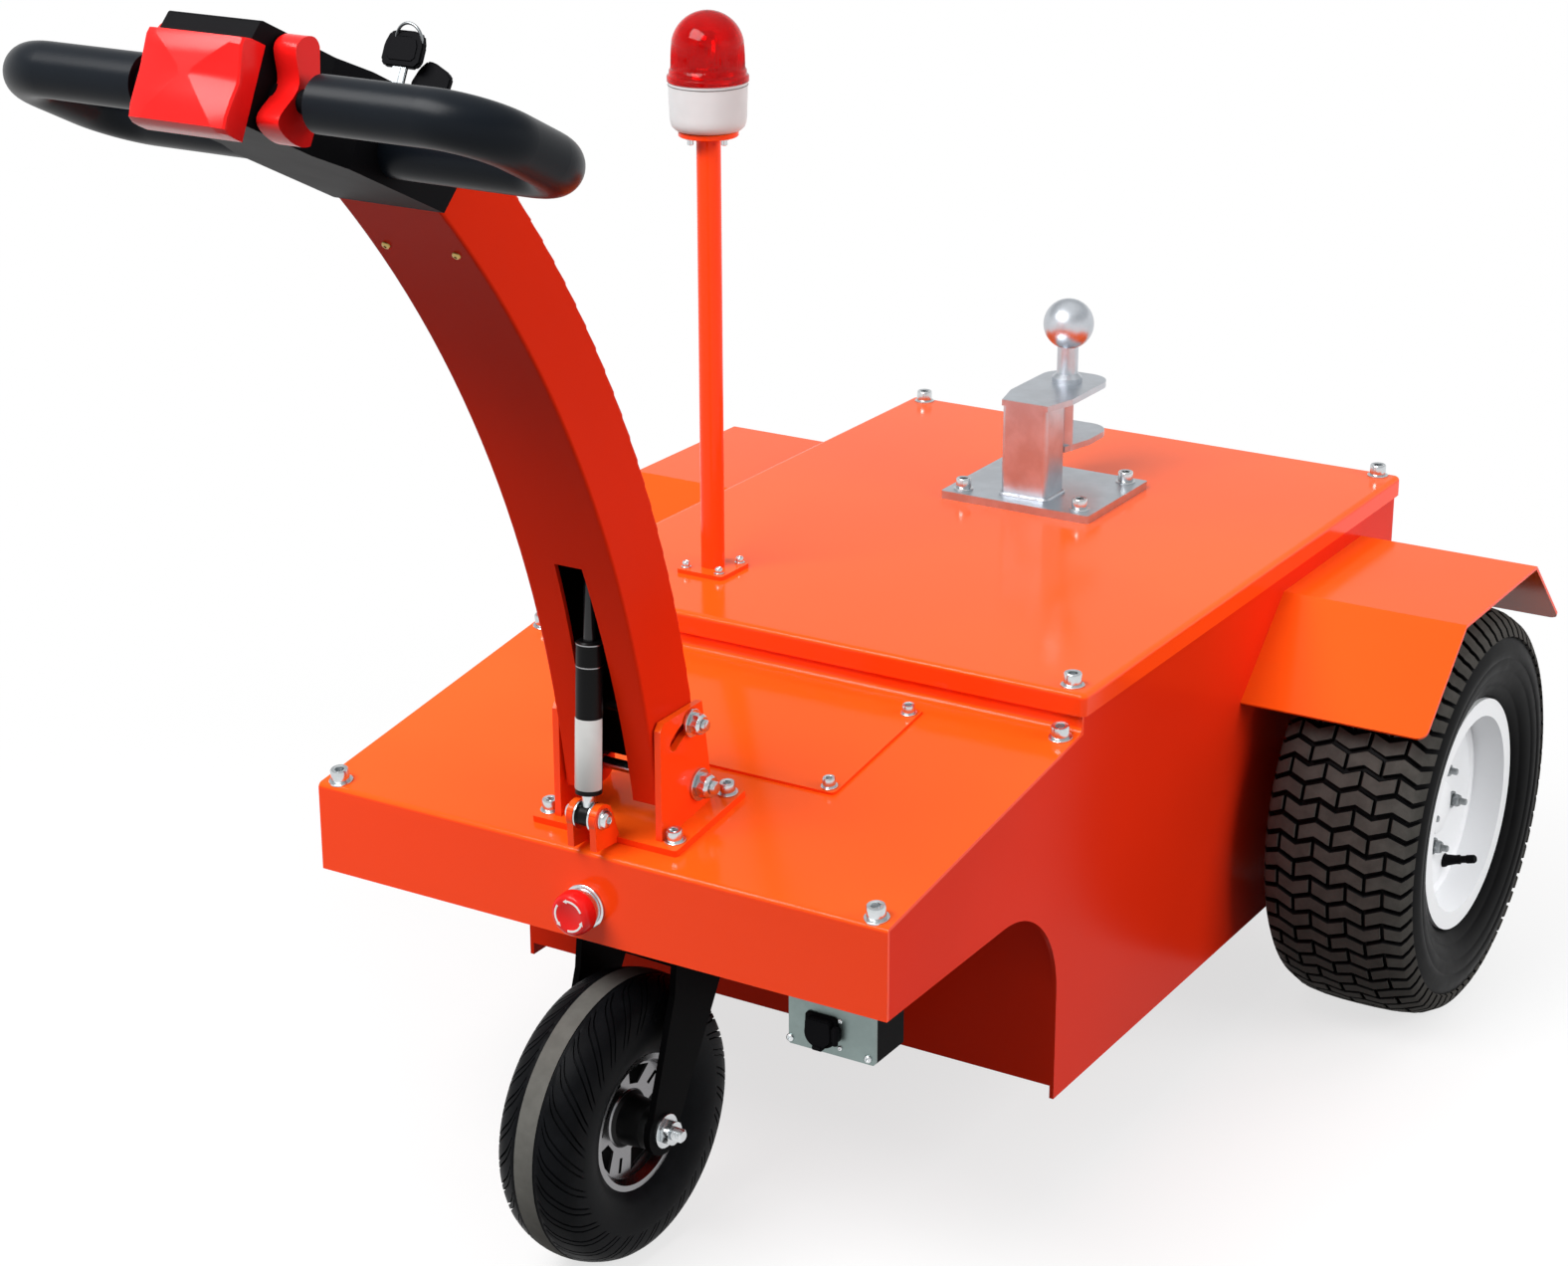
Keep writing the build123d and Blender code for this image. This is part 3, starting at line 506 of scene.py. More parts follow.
def lock_nut(bm, point, normal, radius=9.0, wide=1.35, spin=0.2, stud=1.35):
    """Lock nut with its collar, a washer and the threaded end of its stud, sizes in millimetres."""
    r = radius
    m = stand(point, normal, spin)
    washer(bm, m, r * wide, 2.2)
    h = 2.2
    turned_mm(bm, [(0, h - 0.3), (r * 0.9, h - 0.3, "hex"), (r, h + 0.6, "hex"), (r, h + r * 0.72, "hex"),
                   (r * 0.93, h + r * 0.8), (r * 0.86, h + r * 1.0), (r * 0.78, h + r * 1.08),
                   (r * 0.58, h + r * 1.08), (0, h + r * 1.0)], m, 24)
    thread = [(r * 0.54, h + r * 0.9)]
    z, end = h + r * 1.0, h + r * stud
    while z < end - 0.7:
        thread += [(r * 0.54, z), (r * 0.46, z + 0.7)]
        z += 1.4
    turned_mm(bm, thread + [(r * 0.46, end - 0.3), (r * 0.38, end), (0, end)], m, 20)


def hex_head(bm, point, normal, radius=9.0, wide=1.35, spin=0.2):
    """Hexagon bolt head on a washer, sizes in millimetres."""
    r = radius
    m = stand(point, normal, spin)
    washer(bm, m, r * wide, 2.2)
    turned_mm(bm, [(0, 2), (r * 0.95, 2, "hex"), (r, 3, "hex"), (r, 2.2 + r * 0.62, "hex"),
                   (r * 0.86, 2.2 + r * 0.72), (r * 0.5, 2.2 + r * 0.72), (0, 2.2 + r * 0.66)], m, 24)


# Operators


def seen_rays(graph):
    """1 for the rays that show the background: to the camera, in a reflection or through glass."""
    camera, glossy, clear = (graph.node("ShaderNodeLightPath", output="Is %s Ray" % kind)
                             for kind in ("Camera", "Glossy", "Transmission"))
    return (camera + glossy + clear).step(0.0, 1.0)


class TUG_OT_stage(bpy.types.Operator):
    """Sets up the studio floor, the light and the photograph's camera"""
    bl_idname = "tug.stage"
    bl_label = "Studio stage"

    def execute(self, context):
        s = context.scene.tug_stage
        context.scene.view_settings.view_transform = "Standard"
        self.camera(context, s)
        self.floor(s)
        self.world(context)
        self.lights(s)
        return {"FINISHED"}

    def camera(self, context, s):
        yaw, pitch, roll = (math.radians(v) for v in (31.50, 20.27, -0.14))
        ahead = Vector((-math.sin(yaw) * math.cos(pitch), math.cos(yaw) * math.cos(pitch), -math.sin(pitch)))
        level = Vector((math.cos(yaw), math.sin(yaw), 0))
        right = level * math.cos(roll) + level.cross(ahead) * math.sin(roll)
        over = right.cross(ahead)
        data = bpy.data.cameras.new("studio_camera")
        data.sensor_fit = "HORIZONTAL"
        data.sensor_width = 36
        data.lens = s.lens
        data.clip_end = 60
        camera = add_object("studio_camera", data)
        camera.matrix_world = Matrix.Translation(at(1376.73, -1943.61, 1449.97)) @ Matrix(
            (right, over, -ahead)).transposed().to_4x4()
        context.scene.camera = camera

    def floor(self, s):
        """A floor that shows as the white background, keeps the object's shadow and throws little light back."""
        f = Finish("studio_floor")
        seen = seen_rays(f)
        x, y = f.split(f.place())[:2]
        away = (x ** 2 + y ** 2) ** 0.5
        white = f.node("ShaderNodeEmission", None, {"Color": (1, 1, 1), "Strength": 1.0})
        pale = f.node("ShaderNodeBsdfDiffuse", None, {"Color": tuple(s.floor)})
        shown = f.node("ShaderNodeMixShader", None, {0: (1 - away.step(0.6, 1.5)) * 0.3, 1: white, 2: pale})
        dim = f.node("ShaderNodeBsdfDiffuse", None, {"Color": shade(s.floor, 0.2)})
        both = f.node("ShaderNodeMixShader", None, {0: seen, 1: dim, 2: shown})
        f.feed(f.tree.nodes["Material Output"].inputs["Surface"], both)
        bm = bmesh.new()
        bmesh.ops.create_grid(bm, x_segments=2, y_segments=2, size=14.0)
        mesh = add_mesh("studio_floor", bm)
        mesh.materials.append(f.material)
        floor = add_object("studio_floor", mesh)

    def world(self, context):
        """Soft light that grows towards the ceiling, and a white backdrop under a pale ceiling, brightest overhead."""
        world = bpy.data.worlds.new("studio_world")
        world.use_nodes = True
        g = Graph(world.node_tree)
        z = g.split(g.node("ShaderNodeTexCoord", output="Generated"))[2]
        light = g.mix(z.step(-0.05, 0.9), (0.26, 0.26, 0.26), (0.5, 0.5, 0.5))
        room = g.mix(z.step(0.2, 0.36), (1, 1, 1), (0.6, 0.61, 0.62))
        room = g.mix(z.step(0.6, 0.95), room, (0.95, 0.95, 0.95))
        g.feed(world.node_tree.nodes["Background"].inputs["Color"], g.mix(seen_rays(g), light, room))
        context.scene.world = world

    def lights(self, s):
        for name, place, aim, size, share in (
                ("front_light", (-0.7, -1.9, 2.9), (0, -0.1, 0.35), (2.2, 1.4), 1.5),
                ("side_light", (2.8, 0.35, 1.5), (0, 0.2, 0.3), (1.8, 1.4), 0.58),
                ("back_light", (1.4, 2.9, 2.0), (0, 0, 0.4), (2.4, 1.4), 0.3)):
            data = bpy.data.lights.new(name, "AREA")
            data.shape = "RECTANGLE"
            data.size, data.size_y = size
            data.energy = s.key_light * share
            light = add_object(name, data)
            place = Vector(place)
            light.matrix_world = Matrix.Translation(place) @ (
                Vector(aim) - place).to_track_quat("-Z", "Y").to_matrix().to_4x4()
            light.visible_glossy = name == "front_light"


def arm_inside_shade(f):
    """1 on the inner faces of the tiller's bent box, where near-black painted shade goes."""
    x, y, z = f.split(f.place())
    middle = at(0, ARM_Y, ARM_Z)
    reach = ((y - middle.y) ** 2 + (z - middle.z) ** 2) ** 0.5
    return (reach.step(0.9615, 0.9618) * (1 - reach.step(1.0182, 1.0185)) * (1 - abs(x).step(0.0412, 0.0414)))


class TUG_OT_finishes(bpy.types.Operator):
    """Gives every CAD node its finish"""
    bl_idname = "tug.finishes"
    bl_label = "Finishes"

    def execute(self, context):
        p = context.scene.tug_paint
        # The hull paint carries painted shade: its vertical faces take the darker front colour.
        paint = make_paint("hull_paint_and_upright_shade", tuple(p.hull), p.hull_roughness, upright_shade=tuple(p.front))
        # Painted shade: the hull's sides, bulkhead, floor pan, rear panel and castor shelf take a darker, redder copy
        # of the hull paint, with less gloss.
        shaded_satin = make_paint("side_paint_shaded", tuple(p.sides), p.hull_roughness + 0.08, 0.03)
        zinc = make_zinc("zinc_plate")
        black = make_paint("black_enamel", srgb(11, 11, 12), 0.34, 0.12)
        plastic = make_plastic("black_moulding", srgb(16, 16, 18), 0.42, 0.02)
        red = make_plastic("control_red", tuple(p.control), 0.24, 0.22, 300.0, 0.00003)
        dress(paint, "deck_panel", "lid", "deck_hatch", "fender_left", "fender_right", "tiller_bracket",
              "beacon_post")
        dress(shaded_satin, "side_plate_left", "side_plate_right", "bulkhead", "floor_pan", "rear_panel", "castor_shelf")
        # The tiller takes the darker copy of the hull paint, and near-black painted shade on the inside of its arm.
        dress(make_paint("tiller_paint_shaded", tuple(p.sides), p.hull_roughness + 0.08, 0.02, arm_inside_shade), "tiller_arm")
        dress(zinc, "hitch_base", "hitch_post", "hitch_jaw", "tow_ball", "stop_collar", "pivot_bolt", "clevis_pin",
              "stop_bolt", "spring_cross_pin", "castor_axle", "key_switch", "castor_plate")
        dress(make_paint("rim_white", tuple(p.rim), 0.3, 0.4), "rim_left", "rim_right")
        dress(black, "spring_tube", "drive_axle", "motor")
        dress(make_paint("fork_black", srgb(9, 9, 10), 0.4, 0.015), "castor_fork", "charge_box")
        dress(plastic, "console", "charge_socket", "key", "battery")
        dress(make_plastic("grip_rubber", srgb(13, 18, 24), 0.34, 0.12, 500.0, 0.00006), "grip_left", "grip_right")
        dress(red, "belly_button", "rocker_left", "rocker_right", "stop_button")
        dress(make_plastic("beacon_white", srgb(213, 215, 216), 0.3), "beacon_base")
        dress(make_lens("lens_red", tuple(p.lens)), "beacon_lens")
        dress(make_zinc("milled_plate", srgb(132, 146, 144), 0.42), "charge_plate")
        dress(make_paint("rod_black", srgb(30, 30, 32), 0.2, 0.4), "spring_rod")
        dress(make_castor_alloy("castor_alloy"), "castor_rim")
        make_zinc("screw_zinc", srgb(214, 218, 220), 0.24)
        make_rubber("tyre_black", srgb(11, 11, 12), 0.45)
        make_rubber("tyre_worn", srgb(70, 68, 65), 0.72, 0.18)
        make_rubber("castor_black", srgb(15, 16, 18), 0.42)
        make_rubber("castor_band", srgb(98, 97, 93), 0.75, 0.1)
        dress(finish_of("castor_black"), "castor_tyre")
        dress(finish_of("tyre_black"), "tyre_left", "tyre_right")
        return {"FINISHED"}


class Section:
    """Half of a tyre's outline as (across, radius) points in metres, read by the distance along it."""

    def __init__(self, points):
        self.points = [Vector(p) for p in points]
        self.marks = [0.0]
        for a, b in zip(self.points, self.points[1:]):
            self.marks.append(self.marks[-1] + (b - a).length)

    def normal(self, i):
        a, b = self.points[max(0, i - 1)], self.points[min(len(self.points) - 1, i + 1)]
        if i == 0:
            return Vector((0, 1))
        run = (b - a).normalized()
        return Vector((-run.y, run.x))

    def read(self, w, lift=0.0):
        """The point at a signed distance, lifted off the outline."""
        side = -1 if w < 0 else 1
        w = min(abs(w), self.marks[-1] - 1e-9)
        i = max(k for k, mark in enumerate(self.marks[:-1]) if mark <= w)
        t = (w - self.marks[i]) / (self.marks[i + 1] - self.marks[i])
        p = self.points[i].lerp(self.points[i + 1], t) + self.normal(i).lerp(self.normal(i + 1), t) * lift
        return Vector((side * p.x, p.y))


def wheel_point(matrix, flat, angle):
    """Point of a wheel whose axle is a matrix's X."""
    return matrix @ Vector((flat.x, flat.y * math.cos(angle), flat.y * math.sin(angle)))


class TUG_OT_drive_tyres(bpy.types.Operator):
    """Replaces the plain drive tyres by turf tyres with rows of zigzag lugs"""
    bl_idname = "tug.drive_tyres"
    bl_label = "Drive tyres"

    def execute(self, context):
        s = context.scene.tug_tyres
        for side in ("left", "right"):
            low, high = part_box("tyre_" + side)
            crown = (high[2] - low[2]) / 2
            half = (high[0] - low[0]) / 2
            matrix = Matrix.Translation(centre_of("tyre_" + side))
            outline = Section([(half * k, crown - drop * MM) for k, drop in (
                (0, 0), (0.2, 0.15), (0.39, 0.7), (0.54, 1.9), (0.66, 3.5), (0.75, 5.6), (0.82, 8.2), (0.88, 12.0),
                (0.93, 17.5), (0.97, 25.0), (0.99, 33), (0.995, 43))])
            bm = bmesh.new()
            self.carcass(bm, matrix, outline, crown, half, s)
            for row in range(s.rows):
                self.row(bm, matrix, outline, crown, row, s)
            obj = piece("turf_tyre_" + side, bm, "wheel_" + side, (finish_of("tyre_black"), finish_of("tyre_worn")),
                        32)
            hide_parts("tyre_" + side)
        return {"FINISHED"}

    def carcass(self, bm, matrix, outline, crown, half, s):
        tread = [outline.read(w, -s.lug_depth * (1 - clamp((w - SHOULDER) / 0.03)))
                 for w in (0, 0.02, 0.04, 0.055, 0.066, 0.076, 0.086, 0.098, 0.108)]
        wall = [(0.99, 46), (0.981, 47), (0.981, 49), (0.985, 50.2), (0.97, 58), (0.962, 58.8), (0.955, 60.2),
                (0.955, 61.2), (0.93, 67), (0.90, 73), (0.886, 74), (0.872, 75.4), (0.87, 77), (0.82, 83), (0.79, 86),
                (0.765, 87.3), (0.752, 88.6), (0.74, 92), (0.74, 101.5)]
        profile = [(p.x, p.y) for p in tread] + [(half * k, crown - drop * MM) for k, drop in wall]
        profile = [(-u, r) for u, r in reversed(profile)] + profile[1:]
        turned(bm, [(r, u) for u, r in profile], matrix @ ACROSS, 2 * s.rows)

    def row(self, bm, matrix, outline, crown, row, s):
        """One row of lugs. Every second row is cut half a lug further on."""
        width, reach = s.lug_width, 0.086
        first = width / 2 if row % 2 else 0.0
        cuts = [first + width * k for k in range(-6, 7) if abs(first + width * k) < reach - 0.018]
        for w0, w1 in zip([-reach] + cuts, cuts + [reach]):
            self.lug(bm, matrix, outline, crown, math.tau * row / s.rows, w0, w1, reach, s)

    def lug(self, bm, matrix, outline, crown, angle, w0, w1, reach, s):
        gap, edge, depth = 0.0034, 0.0008, s.lug_depth
        half_length = (math.tau * crown / s.rows - 0.0042) / 2
        ends = [w0 if w0 == -reach else w0 + gap / 2, w1 if w1 == reach else w1 - gap / 2]
        marks = {round(s.lug_width / 2 * k, 6) for k in range(-12, 13)} | {-SHOULDER, SHOULDER, -0.077, 0.077}
        stations = [(ends[0], -edge if w0 > -reach else -depth * 0.75), (ends[0] + edge, 0)]
        stations += [(w, 0) for w in sorted(marks) if ends[0] + 0.003 < w < ends[1] - 0.003]
        stations += [(ends[1] - edge, 0), (ends[1], -edge if w1 < reach else -depth * 0.75)]
        rows = []
        for w, lift in stations:
            wave = abs((w / s.lug_width) % 1.0 - 0.5) * 4 - 1
            v = 0.0034 * wave
            rows.append([wheel_point(matrix, outline.read(w, rise), angle + (v + along) / crown)
                         for along, rise in ((-half_length - 0.0007, -depth - 0.002), (-half_length, lift - edge),
                                             (-half_length + edge, lift), (half_length - edge, lift),
                                             (half_length, lift - edge), (half_length + 0.0007, -depth - 0.002))])
        before = len(bm.faces)
        woven(bm, rows, caps=True)
        bm.faces.ensure_lookup_table()
        for k in range(len(rows) - 1):
            bm.faces[before + 5 * k + 2].material_index = 1


class TUG_OT_castor_tyre(bpy.types.Operator):
    """Replaces the castor's tyre by one with a worn band and slanted fingers, and adds its axle nuts"""
    bl_idname = "tug.castor_tyre"
    bl_label = "Castor tyre"

    def execute(self, context):
        s = context.scene.tug_tyres
        matrix = Matrix.Translation(at(*CASTOR_HUB)) @ Matrix.Rotation(CASTOR_TURN, 4, "Z")
        outline = Section([Vector(p) * MM for p in (
            (0, 126), (5, 125.8), (10, 125.2), (15, 124.1), (20, 122.6), (25, 120.6), (30, 118), (34, 114.2),
            (36.6, 109), (38.2, 101), (38.9, 92), (38.6, 84), (37.2, 77), (34.8, 70.5), (32.5, 66.2), (30, 63.4),
            (27, 60.2))])
        n = s.castor_fingers
        band, finger_start = 0.0097, 0.0135
        shape = ((0, 0), (0.3, 0), (0.585, 0), (0.61, 1), (0.665, 1), (0.69, 0), (0.8, 0), (0.90, 0), (0.925, 1),
                 (0.975, 1))
        stations = sorted({0.0, 0.005, 0.0095, 0.0102, 0.0112, 0.0125, 0.0140, 0.0158, 0.018, 0.0215, 0.025, 0.030,
                           0.036, 0.042, 0.048, 0.0535, 0.0555, 0.0575} | set(outline.marks[10:]))
        across = [-w for w in reversed(stations)] + stations[1:]
        rows = []
        for w in across:
            a = abs(w)
            reach = clamp((a - finger_start) / 0.0022) * clamp((0.0565 - a) / 0.002)
            past = max(0.0, a - finger_start)
            lean = past - 0.008 * (1 - clamp(past / 0.008)) ** 2
            ditch = 0.0007 if band < a < 0.0125 else 0.0
            rows.append([wheel_point(matrix, outline.read(w, -0.0021 * cut * reach - ditch),
                                     math.tau * (k + part) / n + lean / 0.12)
                         for k in range(n) for part, cut in shape])
        bm = bmesh.new()
        woven(bm, rows, closed_columns=True)
        columns = n * len(shape)
        bm.faces.ensure_lookup_table()
        for i, (a, b) in enumerate(zip(across, across[1:])):
            for j in range(columns if max(abs(a), abs(b)) < band else 0):
                bm.faces[i * columns + j].material_index = 1
        obj = piece("castor_tread", bm, "castor_wheel", (finish_of("castor_black"), finish_of("castor_band")),
                    35)
        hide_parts("castor_tyre")
        bm = bmesh.new()
        for side in (-1, 1):
            m = matrix @ stand(Vector((side * 52 * MM, 0, 0)), LEFT * side)
            washer(bm, m, 15, 2.4)
            turned_mm(bm, [(0, 2.2), (10.6, 2.2, "hex"), (11.4, 3, "hex"), (11.4, 9.4, "hex"), (10.2, 10.2),
                           (6, 10.2)], m)
            thread = [(6, 9)] + [(6 if k % 2 else 5.2, 10 + 0.7 * k) for k in range(12)] + [(4.4, 19.2), (0, 19.2)]
            turned_mm(bm, thread, m, 20)
        shaft(bm, matrix @ ACROSS, 9.8, 53, 24)
        obj = piece("castor_nuts", bm, "castor", finish_of("screw_zinc"))
        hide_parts("castor_axle")
        return {"FINISHED"}


class TUG_OT_rims(bpy.types.Operator):
    """Adds the wheel studs, hub caps and valves of the drive rims"""
    bl_idname = "tug.rims"
    bl_label = "Rim fittings"

    def execute(self, context):
        grey = make_zinc("stud_grey", srgb(150, 154, 156), 0.35)
        for side, out in (("left", 1), ("right", -1)):
            middle = centre_of("rim_" + side)
            face = middle + LEFT * out * 30 * MM
            bm = bmesh.new()
            for k in range(4):
                a = math.radians(-8 + 90 * k)
                spot = face + Vector((0, math.cos(a), math.sin(a))) * 39 * MM
                lock_nut(bm, spot, LEFT * out, 6.5, 1.3, a, 2.1)
            piece("rim_studs_" + side, bm, "wheel_" + side, grey)
            bm = bmesh.new()
            a = math.radians(-66)
            spot = face + Vector((0, math.cos(a), math.sin(a))) * 74 * MM
            lean = (LEFT * out + Vector((0, -math.cos(a), -math.sin(a))) * 0.35).normalized()
            turned_mm(bm, [(7, -4), (7, 1.5), (5.6, 4), (4.6, 14), (4.8, 18), (3.6, 19), (3.6, 26), (4.3, 26.5),
                           (4.3, 34), (3.4, 35.5), (0, 35.5)], stand(spot, lean), 18)
            piece("valve_" + side, bm, "wheel_" + side, finish_of("black_moulding"))
            bm = bmesh.new()
            turned_mm(bm, [(97, -0.2), (97, 0.3), (95.5, 1.6), (92, 2.2), (88, 1.4), (86, 0.2), (86, -0.2)],
                      stand(face, LEFT * out), 72)
            turned_mm(bm, [(26, 0), (26, 1.6), (25, 4.2), (21, 5.6), (8, 6.2), (0, 6.2)], stand(face, LEFT * out), 48)
            piece("rim_press_" + side, bm, "wheel_" + side, finish_of("rim_white"))
        return {"FINISHED"}


class TUG_OT_screws(bpy.types.Operator):
    """Adds the cap screws of the hull and hitch, the bolts of the tiller bracket and the weld of the hitch post"""
    bl_idname = "tug.screws"
    bl_label = "Screws"

    def execute(self, context):
        zinc = finish_of("screw_zinc")
        bm = bmesh.new()
        for side in (-1, 1):
            for x, y in ((262, 11), (265, 314)):
                cap_screw(bm, *on_deck(side * x, y), 8.0, 0.3 * y)
            for y in (340, 1025):
                cap_screw(bm, at(side * 262, y, 0) + UP * LID_TOP, UP, 8.0, 0.2 * y)
            for y in (749, 851):
                cap_screw(bm, at(side * 64, y, 476), UP, 7.6, 0.5 * y)
            for x, y in ((61, 36), (60, 117)):
                cap_screw(bm, *on_deck(side * x, y, 6), 6.8, 0.4 * y)
            for x, y in ((129, 164), (129, 297)):
                cap_screw(bm, *on_deck(side * x, y, 2.5), 5.6, 0.3 * y)
            for y in (417, 453):
                cap_screw(bm, at(BEACON_X + side * 18, y, 472), UP, 3.6, 0.2 * y)
        piece("hull_screws", bm, "hull", zinc)
        self.bolt("pivot_joint", "hull", "pivot_bolt", 84, 425, 10.5)
        self.bolt("stop_joint", "tiller", "stop_bolt", 73.05, 482.98, 9.0)
        self.weld()
        bm = bmesh.new()
        for x in (-31, 31):
            a = math.radians(40.2)
            spot = at(x, ARM_Y, ARM_Z) + Vector((0, math.cos(a), math.sin(a))) * 0.958
            button_screw(bm, spot, Vector((0, -math.cos(a), -math.sin(a))), 3.6)
        piece("arm_screws", bm, "tiller", make_zinc("brass", srgb(176, 150, 92), 0.3))
        return {"FINISHED"}

    def bolt(self, name, body, node, y, z, radius):
        """A bolt through both cheeks: its head at one side and its lock nut at the other."""
        bm = bmesh.new()
        lift = 0.0 if body == "hull" else 0.9
        lock_nut(bm, at(52.6 + lift, y, z), LEFT, radius, 1.3, 0.4, 1.5)
        hex_head(bm, at(-52.6 - lift, y, z), -LEFT, radius, 1.3, 0.1)
        shaft(bm, stand(at(0, y, z), LEFT), 5, 54)
        obj = piece(name, bm, body, finish_of("screw_zinc"))
        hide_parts(node)

    def weld(self):
        """The rippled weld bead round the foot of the hitch post."""
        low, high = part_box("hitch_post")
        r, level = 4 * MM, 476.6 * MM
        corners = [(high[0] - r, high[1] - r, 0), (low[0] + r, high[1] - r, 90), (low[0] + r, low[1] + r, 180),
                   (high[0] - r, low[1] + r, 270)]
        points = []
        for k, (x, y, start) in enumerate(corners):
            for step in range(5):
                a = math.radians(start + 22.5 * step)
                points.append(Vector((x + r * math.cos(a), y + r * math.sin(a), level)))
            nx, ny, na = corners[(k + 1) % 4]
            a = math.radians(na)
            end = Vector((nx + r * math.cos(a), ny + r * math.sin(a), level))
            points += [points[-1].lerp(end, t / 16) for t in range(1, 16)]
        bm = bmesh.new()
        hose(bm, points, 2.6 * MM, 10, closed=True)
        for v in bm.verts:
            v.co += Vector((0, 0, 0.0007 * math.sin(v.co.x * 1700) * math.cos(v.co.y * 1700)))
        piece("hitch_weld", bm, "hull", finish_of("zinc_plate"))


class TUG_OT_gas_spring(bpy.types.Operator):
    """Adds the gas spring's plain band, rings, stem and washers"""
    bl_idname = "tug.gas_spring"
    bl_label = "Gas spring"

    def execute(self, context):
        foot, eye = at(0, CLEVIS_Y, CLEVIS_Z), at(0, 15, 680)
        run = (eye - foot).normalized()
        m = stand(foot, run)
        inverse = m.to_3x3().inverted()
        facing = inverse @ Vector((0.42, -1, 0))
        middle = math.atan2(facing.y, facing.x)
        bm = bmesh.new()
        rows = []
        for z, r in ((24, 11.05), (24.3, 11.3), (83.7, 11.3), (84, 11.05)):
            rows.append([m @ (Vector((r * math.cos(a), r * math.sin(a), z)) * MM)
                         for a in (middle + math.radians(-80 + 8 * k) for k in range(21))])
        woven(bm, rows)
        piece("spring_band", bm, "spring_barrel", make_plastic("band_film", srgb(206, 206, 204), 0.4))
        bm = bmesh.new()
        for z in (127.5, 146):
            turned_mm(bm, [(10.9, z - 0.6), (11.25, z - 0.4), (11.25, z + 0.4), (10.9, z + 0.6)], m, 40)
        piece("spring_rings", bm, "spring_barrel", make_zinc("ring_grey", srgb(170, 170, 172), 0.3))
        bm = bmesh.new()
        turned_mm(bm, [(5.2, 8), (5.6, 9), (5.6, 19), (7.6, 19.4), (7.6, 21.6), (5, 21.6)], m, 28)
        for side in (-1, 1):
            washer(bm, stand(at(side * 6.1, CLEVIS_Y, CLEVIS_Z), LEFT * side), 12.2, 1.5, 0.62)
        piece("spring_stem", bm, "spring_barrel", finish_of("screw_zinc"))
        bm = bmesh.new()
        for side in (-1, 1):
            m = stand(at(side * 14.1, CLEVIS_Y, CLEVIS_Z), LEFT * side)
            washer(bm, m, 9.0, 1.6)
            turned_mm(bm, [(0, 1.4), (7.4, 1.4), (7.6, 2.4), (6.8, 4.6), (4.6, 6.0), (3.6, 6.1), (3.2, 5.6, "hex"),
                           (3.2, 3.4, "hex"), (0, 3.2)], m, 24)
        shaft(bm, stand(foot, LEFT), 4.9, 14)
        obj = piece("clevis_joint", bm, "hull", finish_of("screw_zinc"))
        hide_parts("clevis_pin")
        return {"FINISHED"}


class TUG_OT_stop_button(bpy.types.Operator):
    """Replaces the nose's stop button by a mushroom with its ring of turn arrows"""
    bl_idname = "tug.stop_button"
    bl_label = "Stop button"

    def execute(self, context):
        middle = at(-4, 0, 336)
        m = stand(middle, AHEAD)
        bm = bmesh.new()
        turned_mm(bm, [(0, 9.2), (13.5, 9.2), (14, 10), (18.2, 10.6), (18.8, 11.6), (18.7, 15), (18.2, 20),
                       (17.4, 22.2), (15.9, 23.6), (14.7, 24.0), (10.2, 23.7), (9.8, 23.5), (0, 23.4)], m, 64)
        obj = piece("stop_mushroom", bm, "hull", finish_of("control_red"))
        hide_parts("stop_button")
        bm = bmesh.new()
        for k in range(3):
            start = math.radians(120 * k + 25)
            turn = [start + math.radians(d) for d in range(0, 73, 6)]
            outer = [(13.9 * math.cos(a), 13.9 * math.sin(a)) for a in turn]
            inner = [(12.2 * math.cos(a), 12.2 * math.sin(a)) for a in reversed(turn)]
            tip = start + math.radians(88)
            head = [(r * math.cos(a), r * math.sin(a)) for r, a in ((15.0, turn[-1]), (13.05, tip), (11.1, turn[-1]))]
            slab(bm, outer + head + inner, m, 23.2, 24.25)
        piece("stop_arrows", bm, "hull", make_plastic("arrow_white", srgb(240, 238, 236), 0.4))
        bm = bmesh.new()
        turned_mm(bm, [(15.5, -0.1), (19, -0.1), (19, 2.2), (18.2, 3), (16.4, 3.2), (16.2, 7.6), (17.2, 8.2),
                       (17.2, 9.6), (16.4, 10.1), (12, 10.1)], m, 64)
        piece("stop_bezel", bm, "hull", finish_of("screw_zinc"))
        return {"FINISHED"}


